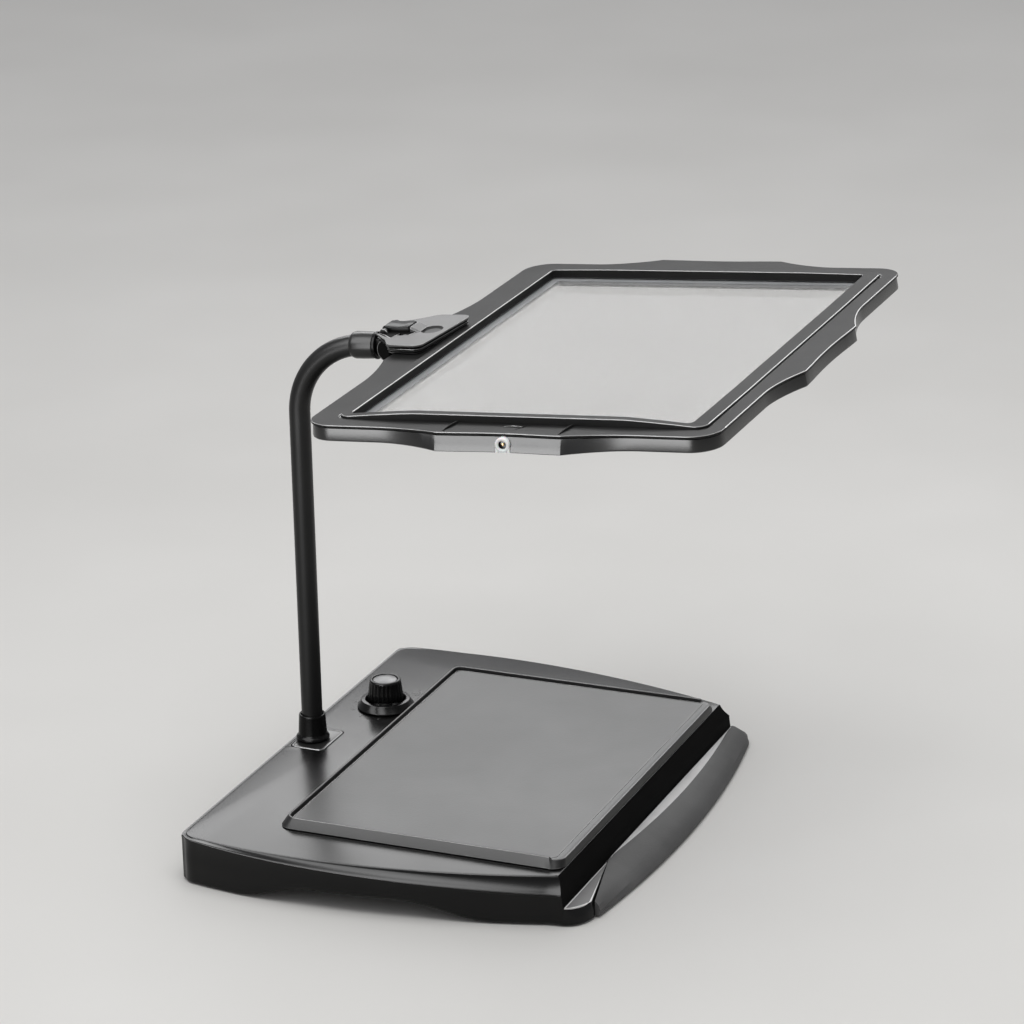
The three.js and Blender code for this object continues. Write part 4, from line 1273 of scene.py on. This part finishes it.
# outline of the latch's shadow on the plate: painted shadow
LATCH_SHADOW = [(-5.8, 108.3), (-5.8, 126.0), (-8.8, 126.0), (-12.1, 121.4), (-14.5, 119.0), (-16.4, 116.6),
         (-12.2, 116.3), (-8.6, 115.3), (-10.8, 109.5), (-6.8, 108.3)]
SCOOP = (7.0, 5.4, 2.0)
SCOOP_PLACE = (0, 101.2, 5.2)
PLATE_LOW, PLATE_TOP = 4.0, 5.0


def clip_pieces():
    def ring(inset, h):
        return lift(clip_outline(inset), h)

    bm = skin([ring(0.3, PLATE_LOW), ring(0.0, PLATE_LOW + 0.3), ring(0.0, PLATE_TOP)])
    scoop = bmesh.new()
    bmesh.ops.create_uvsphere(scoop, u_segments=40, v_segments=20, radius=1)
    scoop.transform(Matrix.Translation(SCOOP_PLACE) @ Matrix.Diagonal((*SCOOP, 1)))
    piece("clip_plate", bm, "clip_grey", "lens_head", ["clip_cover"], bevel=0.25, angle=30, shine=True,
          cut=[scoop, prism(LATCH_PIT_AND_SHADOW, 0, 9)])
    lugs = []
    for side in (-1, 1):
        u = side * 7.8
        lugs.append(turned([
            (0, u - 0.9), (2.2, u - 0.9), (2.4, u - 0.7), (2.4, u + 0.7), (2.2, u + 0.9), (0, u + 0.9),
        ], 28, (LATCH_V, LATCH_H - 0.9), axis="x"))
        lugs.append(box(u - 0.9, u + 0.9, LATCH_V - 2.4, LATCH_V + 2.4, 3.4, LATCH_H - 0.7))
    piece("clip_lugs", join(*lugs), "latch_plastic", "lens_head", bevel=0.2, shine=True)
    scoop_piece()
    ramp_piece()
    clip_body_piece()
    latch_piece()


def scoop_piece():
    """The dark bowl of the oval finger scoop in front of the latch."""
    cx, cy, cz = SCOOP_PLACE
    a, b, c = SCOOP
    circle = [2 * math.pi * i / 40 for i in range(40)]
    upper, lower = [], []
    for share in (0.985, 0.94, 0.86, 0.74, 0.58, 0.40, 0.20, 0.05):
        z = cz - c * math.sqrt(1 - share ** 2)
        ring = [(cx + a * share * math.cos(turn), cy + b * share * math.sin(turn)) for turn in circle]
        upper.append(lift(ring, min(z + 0.08, PLATE_TOP - 0.1)))
        lower.append(lift(ring, z - 0.2))
    piece("scoop_bowl", skin(lower[::-1] + upper), "scoop_satin", "lens_head", angle=50)


def ramp_piece():
    """The slanted facet that leads from the scoop up to the latch."""
    rings = []
    for u, shrink in ((-5.4, 0.9), (-4.6, 0), (4.6, 0), (5.4, 0.9)):
        rings.append([(u, 105.6 + shrink, 4.8), (u, 105.6 + shrink, 5.05), (u, 110.6, 7.5 - shrink),
                      (u, 111.0, 7.3 - shrink), (u, 111.0, 4.8)])
    piece("latch_ramp", skin(rings), "clip_grey", "lens_head", bevel=0.2, angle=30, shine=True)


def clip_body_piece():
    """The black carrier under the plate, with two ears for the tilt pin; its unreflecting black is painted
    shade.
    """
    def ring(inset, h):
        return [(x, min(y, 128), h) for x, y in clip_outline(inset)]

    pad = skin([ring(1.6, 0.3), ring(1.2, 0.6), ring(1.2, 1.7), ring(0.5, 2.0), ring(0.5, 2.9)])
    cheek = skin([ring(1.0, 2.5), ring(0.8, 4.05)])
    ears = []
    for side in (-1, 1):
        inner, outer = sorted((side * 4.4, side * 8.5))
        ears.append(turned([
            (0, inner), (6.2, inner), (6.5, inner + 0.3), (6.5, outer - 0.5), (6.0, outer), (3.0, outer),
            (2.8, outer - 0.5), (0, outer - 0.5),
        ], 40, (PIVOT_V, PIVOT_H), axis="x"))
        ears.append(box(inner, outer, 112.3, PIVOT_V, PIVOT_H - 6.4, PIVOT_H + 6.4))
    ears.append(box(-4.5, 4.5, 112.3, PIVOT_V - 6.3, PIVOT_H - 6.4, PIVOT_H + 6.4))
    # shadow_black: black that reflects nothing, painted shade
    piece("clip_carrier", join(pad, *ears), "shadow_black", "lens_head", ["clip_body"], bevel=0.25,
          angle=45, shine=True)
    piece("clip_cheek", cheek, "latch_plastic", "lens_head", angle=45, cut=[prism(LATCH_PIT_AND_SHADOW, 3.0, 9)])
    # a black sheet laid where the latch's shadow falls is painted shadow; the pale rim round it is a painted
    # highlight
    shadow_sheet = prism(LATCH_SHADOW, 2.8, PLATE_TOP + 0.08)
    piece("latch_shelf", shadow_sheet, "shadow_black", "lens_head", angle=50)
    cx, cy = -9.5, 117.3
    grown = [(min(cx + (x - cx) * 1.10, -5.75), cy + (y - cy) * 1.05) for x, y in LATCH_SHADOW]
    edge = prism(grown, PLATE_TOP - 0.3, PLATE_TOP + 0.04)
    piece("latch_shelf_edge", edge, "painted_highlight_edge", "lens_head", angle=50)


def latch_piece():
    """The flip lever: rounded at the rear, raised front lip whose bright edge is a painted highlight on its
    bevel.
    """
    v, h = LATCH_V, LATCH_H
    side = [(111.3, h - 0.9), (111.3, h + 1.2), (111.9, h + 2.0), (113.2, h + 2.3), (115.0, h + 2.2)]
    side += [(117.5, h + 1.95), (120.5, h + 2.0), (v - 0.5, h + 2.3)]
    for i in range(1, 9):
        angle = math.radians(80 - 130 * i / 8)
        side.append((v + 2.3 * math.cos(angle), h + 2.35 * math.sin(angle)))
    side += [(v - 1, h - 2.3), (113.6, h - 2.3), (112.0, h - 1.8)]
    middle_v = 118.5
    signs = [(1 if pv > middle_v else -1, 1 if ph > h else -1) for pv, ph in side]
    rings = []
    for u, shrink in ((-5.55, 0.55), (-5.35, 0.2), (-4.9, 0.0), (4.9, 0.0), (5.35, 0.2), (5.55, 0.55)):
        rings.append([(u, pv - shrink * sv, ph - shrink * sh) for (pv, ph), (sv, sh) in zip(side, signs)])
    piece("latch_flap", skin(rings), "latch_plastic", "latch", ["latch_lever"], bevel=0.2, angle=30,
          shine=True)


def knuckle_pieces():
    eye = turned([
        (0, -4.0), (5.2, -4.0), (5.6, -3.6), (5.6, 3.6), (5.2, 4.0), (0, 4.0),
    ], 40, (PIVOT_V, PIVOT_H), axis="x")
    tongue = box(-4.0, 4.0, PIVOT_V, 132.2, PIVOT_H - 4.4, PIVOT_H + 4.4)
    flange = turned([
        (0, 131.2), (6.6, 131.2), (7.1, 131.6), (7.1, 132.9), (6.7, 133.1), (0, 133.1),
    ], 40, (0, PIVOT_H), axis="y")
    piece("tilt_knuckle_body", join(eye, tongue, flange), "collar_plastic", "neck_7", ["tilt_knuckle"],
          bevel=0.3, angle=50)
    r = NECK_RADIUS
    ferrule = turned([
        (r + 0.2, 133.2), (6.5, 133.2), (6.75, 133.5), (6.9, 136), (7.0, 140), (7.0, 143.6), (6.8, 144.6),
        (6.3, 145.6), (5.95, 145.95), (r + 0.2, 146.0),
    ], 56, (0, PIVOT_H), axis="y")
    piece("ferrule_sleeve", ferrule, "ferrule_satin", "neck_7", ["neck_ferrule"], angle=30)


def pin_pieces():
    for node, centre, reach, radius in (
        ("tilt_pin", (PIVOT_V, PIVOT_H), 8.2, 1.5),
        ("latch_pin", (LATCH_V, LATCH_H), 8.6, 0.9),
    ):
        rod = turned([
            (0, -reach), (radius * 0.7, -reach), (radius, -reach + 0.3), (radius, reach - 0.3),
            (radius * 0.7, reach), (0, reach),
        ], 28, centre, axis="x")
        piece(f"{node}_rod", rod, "steel", "lens_head", [node])


# ---- underside ----
def screw_piece(name, node, body, centre, low, top, profile, sides, slot, place=None):
    """A pan head with a cross recess on its shank, in place of the CAD's plain one."""
    shank = profile[-1][0]
    head = turned([(0, low), *((radius, low + rise) for radius, rise in profile), (shank, top), (0, top)],
                  sides, centre)
    x, y = centre
    reach, width, depth = slot
    arms = ((reach, width), (width, reach))
    cross = [box(x - a, x + a, y - b, y + b, low - 1, low + depth) for a, b in arms]
    piece(name, head, "steel", body, [node], place=place, cut=cross)


def screw_pieces():
    for k in range(1, 5):
        node = f"base_screw_{k}"
        low, high = node_box(node)
        screw_piece(f"base_screw_head_{k}", node, "base", node_centre(node), low.z, high.z,
                    [(1.6, 0.05), (2.5, 0.35), (2.95, 0.9), (3.0, 1.5), (1.2, 1.5)], 32, (1.5, 0.3, 0.9),
                    place=WORLD)
    low = FRAME_BOTTOM + 0.1
    for k, centre in enumerate(((-134, -91.5), (134, -91.5), (134, 93), (-134, 93)), 1):
        screw_piece(f"frame_screw_head_{k}", f"frame_screw_{k}", "lens_head", centre, low, low + 5.6,
                    [(1.4, 0.05), (2.1, 0.35), (2.4, 0.8), (2.4, 1.3), (1.1, 1.3)], 28, (1.2, 0.25, 0.8))


def foot_pieces():
    for k in range(1, 5):
        pad = turned([
            (0, 0.25), (4.6, 0.25), (5.0, 0.0), (6.5, 0.0), (6.9, 0.3), (7.0, 0.8), (6.8, 2.0), (0, 2.0),
        ], 48, node_centre(f"foot_{k}"))
        piece(f"foot_pad_{k}", pad, "foot_rubber", "base", [f"foot_{k}"], place=WORLD)


def dress_frame_nodes():
    """Every CAD node that stays in view or inside takes the finish of its slot."""
    slots = {s["node"]: s["material_slot"] for s in frame["record"]["subparts"]}
    for node, thing in frame["nodes"].items():
        look = LOOKS[slots[node]]
        thing.data.materials.clear()
        thing.data.materials.append(look)


add_camera()
add_surroundings()
dress_frame_nodes()
for make in (
    base_shell_piece, bumper_piece, tray_piece, knob_pieces, collar_pieces, neck_pieces, frame_top_piece,
    frame_bottom_piece, jack_pieces, lens_pieces, window_pieces, clip_pieces, knuckle_pieces, pin_pieces,
    screw_pieces, foot_pieces,
):
    make()
KEPT_DARK = ["floor", "lens_sheet"]
limit_card("edge_card", KEPT_DARK)
limit_card("left_card", KEPT_DARK + ["tray_plate", "base_shell_body", "bumper_pad", "bumper_strip"])
